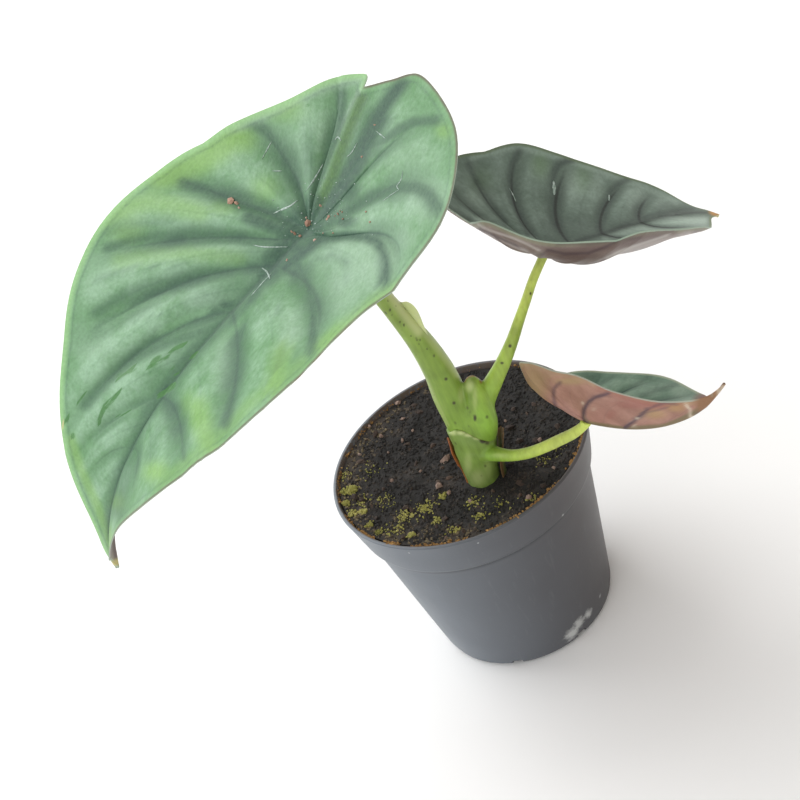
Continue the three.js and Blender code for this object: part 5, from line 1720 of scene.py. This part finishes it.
# %% Underside and rim of a leaf
def lower_skin(name, tones):
    """Red-purple tissue with raised dark veins, a green tinge near the margin and painted glints."""
    material, tree = blank(name)
    notes = {key: put(tree, "Attribute", attribute_name=key, out="Fac") for key in (
        "rho", "vein", "thin", "margin", "rib", "fresh", "dry", "blush", "tan", "arc", "glint")}
    # Soft masks from the notes: where each one starts, where it is full, and how strong it gets
    soft = {}
    for mask, note_name, start, full, most in (
        ("tint", "margin", 1.8, 0.6, 0.35), ("vein_line", "vein", 0.8, 0.2, tones["lines"]),
        ("thin_line", "thin", 0.3, 0.05, 0.12), ("rib", "rib", 1.3, 0.5, 1.0),
    ):
        steps = {"Value": notes[note_name], "From Min": start, "From Max": full, "To Max": most}
        soft[mask] = put(tree, "MapRange", steps, **SOFT)
    flat = put(tree, "Attribute", attribute_name="flat", out="Vector")
    on_leaf = put(tree, "VectorMath", {0: flat, 1: (1, 1, 0)}, **TIMES)
    cloud = put(tree, "TexNoise", {"Vector": on_leaf, "Scale": 0.16, "Detail": 3.0})
    grain = put(tree, "TexNoise", {"Vector": on_leaf, "Scale": 1.3, "Detail": 3.0, "Roughness": 0.7})
    tone = put(tree, "Math", {0: grain, 1: 0.35, 2: cloud}, operation="MULTIPLY_ADD")
    colour = put(tree, "ValToRGB", {"Fac": tone}, ramp=[(0.45, tones["deep"]), (0.85, tones["body"])])
    olive = put(tree, "Math", {0: notes["fresh"], 1: 0.7}, **TIMES)
    olive = put(tree, "Math", {0: olive, 1: soft["tint"]}, operation="MAXIMUM")
    colour = put(tree, "Mix", {0: olive, 6: colour, 7: tones["olive"]}, **COLOURS)
    for touch in ("blush", "tan"):
        colour = put(tree, "Mix", {0: notes[touch], 6: colour, 7: tones[touch]}, **COLOURS)
    inner = put(tree, "MapRange", {"Value": notes["rho"], "From Min": 0.9, "From Max": 0.7})
    vein_line = put(tree, "Math", {0: soft["vein_line"], 1: inner}, **TIMES)
    broken = put(tree, "MapRange", {"Value": cloud, "From Min": 0.36, "From Max": 0.52})
    vein_line = put(tree, "Math", {0: vein_line, 1: broken}, **TIMES)
    thin_line = put(tree, "Math", {0: soft["thin_line"], 1: inner}, **TIMES)
    withered = put(tree, "MapRange", {"Value": notes["dry"], "From Min": 0.15, "From Max": 0.7})
    # The upper skin is rolled over the margin as a thin pale line
    rolled_edge = put(tree, "MapRange", {"Value": notes["margin"], "From Min": tones["edge_width"],
                                         "From Max": tones["edge_width"] * 0.6, "To Max": 0.85})
    # Glints are painted highlights on the underside; at the tail of the small leaf they paint its pale dry
    # tip
    for mask, layer in ((vein_line, "vein"), (thin_line, "vein"), (soft["rib"], "rib"),
                        (notes["arc"], "vein"), (rolled_edge, "edge"), (withered, "dry"),
                        (notes["glint"], "glint")):
        colour = put(tree, "Mix", {0: mask, 6: colour, 7: tones[layer]}, **COLOURS)
    bump = put(tree, "Bump", {"Height": grain, "Strength": 0.4, "Distance": 0.0002})
    skin = put(tree, "BsdfPrincipled", {"Base Color": colour, "Roughness": 0.45, "IOR": 1.45, "Normal": bump})
    put(tree, "OutputMaterial", {"Surface": skin})
    return material


# %% Colours of the leaves
# pale is the colour of the painted highlights on the upper side, glint that of the painted highlights
# underneath
SILVER = dict(silver="#92B596", green="#628F60", fresh="#84B056", pale="#A6C0AA", valley="#375446",
              line="#354D43", margin="#98C588", lip="#62584A", bruise="#4A7A42", dry="#D8C890",
              band=1.9, collecting=0.35, far_lip=0.0, shine=0.32)
GREY = dict(silver="#879A8E", green="#637568", fresh="#6A8A58", pale="#B0C4B6", valley="#414B47",
            line="#2F3231", margin="#7E8A66", lip="#6E7F62", bruise="#46584C", dry="#C08A34",
            band=0.7, collecting=0.0, far_lip=0.6, shine=0.4)
DARK = dict(silver="#8BA58F", green="#5F7E69", fresh="#74926A", pale="#A2B8A4", valley="#43584E",
            line="#33473F", margin="#8E9C84", lip="#A9B39A", bruise="#3F6048", dry="#7A4A34",
            band=0.6, collecting=0.2, far_lip=1.0, shine=0.4)
MAUVE = dict(body="#93847D", deep="#73645E", olive="#7F9060", vein="#40313A", rib="#5C4C44", dry="#B8AE6C",
             edge="#9FB6A2", edge_width=0.36, lines=0.5, blush="#66534E", tan="#B2A6A2", glint="#D0CAC4")
PINK = dict(body="#AE8474", deep="#92685A", olive="#A69462", vein="#443040", rib="#7A6A4C", dry="#8A6444",
            edge="#A4AE9E", edge_width=0.32, lines=0.15, blush="#985A50", tan="#B4945E", glint="#D2C4AE")

silver_top = upper_skin("silver_leaf_upper", SILVER, 0.3, -0.08)
grey_top = upper_skin("grey_leaf_upper", GREY, 0.7, 0.0)
dark_top = upper_skin("dark_leaf_upper", DARK, 0.7, 0.0)
mauve_under = lower_skin("leaf_underside_mauve", MAUVE)
pink_under = lower_skin("leaf_underside_pink", PINK)
print("silver finish:", len(silver_top.node_tree.nodes), "nodes")

# %% [markdown]
# Each sheet is now given its thickness. The solidify modifier puts the second
# material on the lower face, and afterwards the points of that face are pushed
# down along the veins, where the ribs stand out underneath.

# %% Thicken the blades and raise the ribs
RIB_DEPTH = {"leaf_large": 0.7, "leaf_middle": 0.5, "leaf_small": 0.4}
VEIN_RELIEF = 0.3
RIM_SHARE = 0.35
RIM_TAPER = 1.6


def read(piece, name):
    """The numbers that note() wrote on the points."""
    found = np.empty(len(piece.data.vertices), dtype=np.float32)
    piece.data.attributes[name].data.foreach_get("value", found)
    return found.astype(float)


def thicken(blade, rib_depth):
    """A lower face under the sheet, with ribs along the midrib and the veins."""
    upper = len(blade.data.vertices)
    apply_modifier(blade, "SOLIDIFY", thickness=BLADE_THICKNESS * MM, offset=0, material_offset=1,
                   material_offset_rim=1)
    points = points_of(blade)
    midrib = rib_depth * np.exp(-(read(blade, "rib") / 0.9) ** 2)
    veins = VEIN_RELIEF * np.exp(-(read(blade, "vein") / 0.45) ** 2) * np.clip(1 - read(blade, "rho"), 0, 1)
    keep = RIM_SHARE + (1 - RIM_SHARE) * np.clip(read(blade, "margin") / RIM_TAPER, 0, 1)
    down = points[upper:2 * upper] - points[:upper]
    points[upper:2 * upper] = points[:upper] + down * keep[:upper, None]
    down /= np.maximum(np.linalg.norm(down, axis=1, keepdims=True), 1e-9)
    points[upper:2 * upper] += down * np.maximum(midrib, veins)[:upper, None] * MM
    move_points(blade, points)
    smooth(blade, 60)


for name, upper, lower, node, slot in (
    ("leaf_large", silver_top, mauve_under, "blade_large", "leaf_silver"),
    ("leaf_middle", grey_top, mauve_under, "blade_middle", "leaf_grey"),
    ("leaf_small", dark_top, pink_under, "blade_small", "leaf_grey"),
):
    blade = blades[name]
    dress(blade, upper, lower)
    thicken(blade, RIB_DEPTH[name])
    settle(blade, slot, node)

# %% [markdown]
# ## Scratches and crumbs on the leaves
# Handling left thin pale scratches on the large and the middle leaf, and crumbs
# of bark lie round the joint of the large stalk. Each is set where it shows in
# the picture and laid on the leaf along the line of sight.

# %% Draw a line on a leaf
def scratch(blade, path, width):
    """A thin raised line on a blade along pixels of the picture."""
    fine = spline(path, np.linspace(0, 1, 6 * len(path)))
    found = [seen_on(blade, x, y) for x, y in fine]
    middles = [place + normal * 0.04 * MM for place, normal in found]
    corners = []
    for i, (place, normal) in enumerate(found):
        ahead = middles[min(i + 1, len(found) - 1)] - middles[max(i - 1, 0)]
        side = ahead.cross(normal).normalized()
        share = i / (len(found) - 1)
        half = width * MM / 4.4 * (0.35 + math.sin(math.pi * share)) * (1 + 0.15 * math.sin(17 * share))
        corners += [middles[i] + side * half, middles[i] + normal * 0.05 * MM, middles[i] - side * half]
    starts = [3 * i + k for i in range(len(found) - 1) for k in (0, 1)]
    faces = [(i, i + 1, i + 4, i + 3) for i in starts]
    bpy.ops.mesh.primitive_plane_add(size=0.001)
    piece = bpy.context.object
    piece.data.clear_geometry()
    piece.data.from_pydata([tuple(c) for c in corners], [], faces)
    return piece


# %% Scratches on the leaves
SCRATCHES = {
    "leaf_large": [
        ([(273, 214), (281, 210), (290, 206), (298, 200)], 0.6), ([(272, 171), (282, 171)], 0.5),
        ([(305, 192), (311, 184), (318, 173), (323, 164)], 0.45),
        ([(253, 245), (265, 247), (288, 247)], 0.4),
        ([(251, 296), (258, 288), (264, 281), (272, 273)], 0.5),
        ([(262, 268), (267, 272), (270, 279)], 0.5),
        ([(399, 190), (397, 186), (401, 180), (403, 171)], 0.4), ([(376, 131), (386, 139)], 0.3),
        ([(347, 157), (352, 152), (357, 143)], 0.35), ([(383, 201), (391, 195), (399, 190)], 0.3),
        ([(262, 159), (268, 148), (272, 141)], 0.3), ([(335, 140), (338, 137), (341, 141)], 0.45),
    ],
    "leaf_middle": [
        ([(553.5, 181), (554, 188), (554, 195)], 1.3), ([(509, 188), (513, 195), (516, 202)], 0.4),
        ([(609, 195), (609, 201)], 0.6),
    ],
}
deselect()
lines = [scratch(blades[leaf], path, width) for leaf, marks in SCRATCHES.items() for path, width in marks]
scratches = join("leaf_scratches", *lines)
dried_sap, tree = blank("dried_sap")
position = put(tree, "TexCoord", out="Object")
break_up = put(tree, "TexNoise", {"Vector": position, "Scale": 1500.0, "Detail": 2.0})
colour = put(tree, "ValToRGB", {"Fac": break_up}, ramp=[(0.4, "#859C8E"), (0.62, "#BCCAC4")])
film = put(tree, "BsdfPrincipled", {"Base Color": colour, "Roughness": 0.55})
put(tree, "OutputMaterial", {"Surface": film})
dress(scratches, dried_sap)
settle(scratches, "leaf_silver")

# %% Crumbs round the stalk joint
CRUMBS = [
    (321, 206, 0.5), (308, 223, 0.85), (295, 234, 0.7), (292, 232, 0.45), (329, 217, 0.45), (338, 214, 0.4),
    (287, 260, 0.45), (315, 240, 0.5), (231, 201, 1.5), (236, 203, 1.0), (340, 211, 0.35), (327, 219, 0.4),
    (306, 218, 0.35), (300, 236, 0.35), (370, 222, 0.35), (335, 216, 0.35), (342, 212, 0.3),
    (239, 208, 0.4), (375, 125, 0.4), (362, 157, 0.35), (323, 233, 0.3), (333, 233, 0.3), (343, 219, 0.3),
    (366, 212, 0.35),
]
places = np.array([seen_on(blades["leaf_large"], x, y)[0] for x, y, _ in CRUMBS])
crumb_sizes = np.array([size for _, _, size in CRUMBS]) * 0.75
crumbs = stones("bark_dust", places / MM, crumb_sizes, stretch=(0.5, 1.3))
dress(crumbs, earth("dry_bark_dust", [(0.15, "#86604E"), (0.5, "#B08C78"), (0.95, "#D8BEB0")],
                    0.85, "#E6DACE", 4))
settle(crumbs, "soil")

# %% Dust round the stalk joint
SPECKS = 90
# Middle and spread across and down the picture
DUST_ACROSS = (322, 24)
DUST_DOWN = (212, 15)
specks = np.column_stack([RANDOM.normal(*DUST_ACROSS, SPECKS), RANDOM.normal(*DUST_DOWN, SPECKS)])
places = np.array([seen_on(blades["leaf_large"], x, y)[0] for x, y in specks])
dust = stones("leaf_dust", places / MM, RANDOM.uniform(0.05, 0.14, len(places)), stretch=(0.5, 1.5))
dress(dust, dried_sap)
settle(dust, "soil")

# %% Measure and finish
size = {"cad": [list(corner) for corner in cad_box], "visual": [list(corner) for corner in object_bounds()]}
print(size)
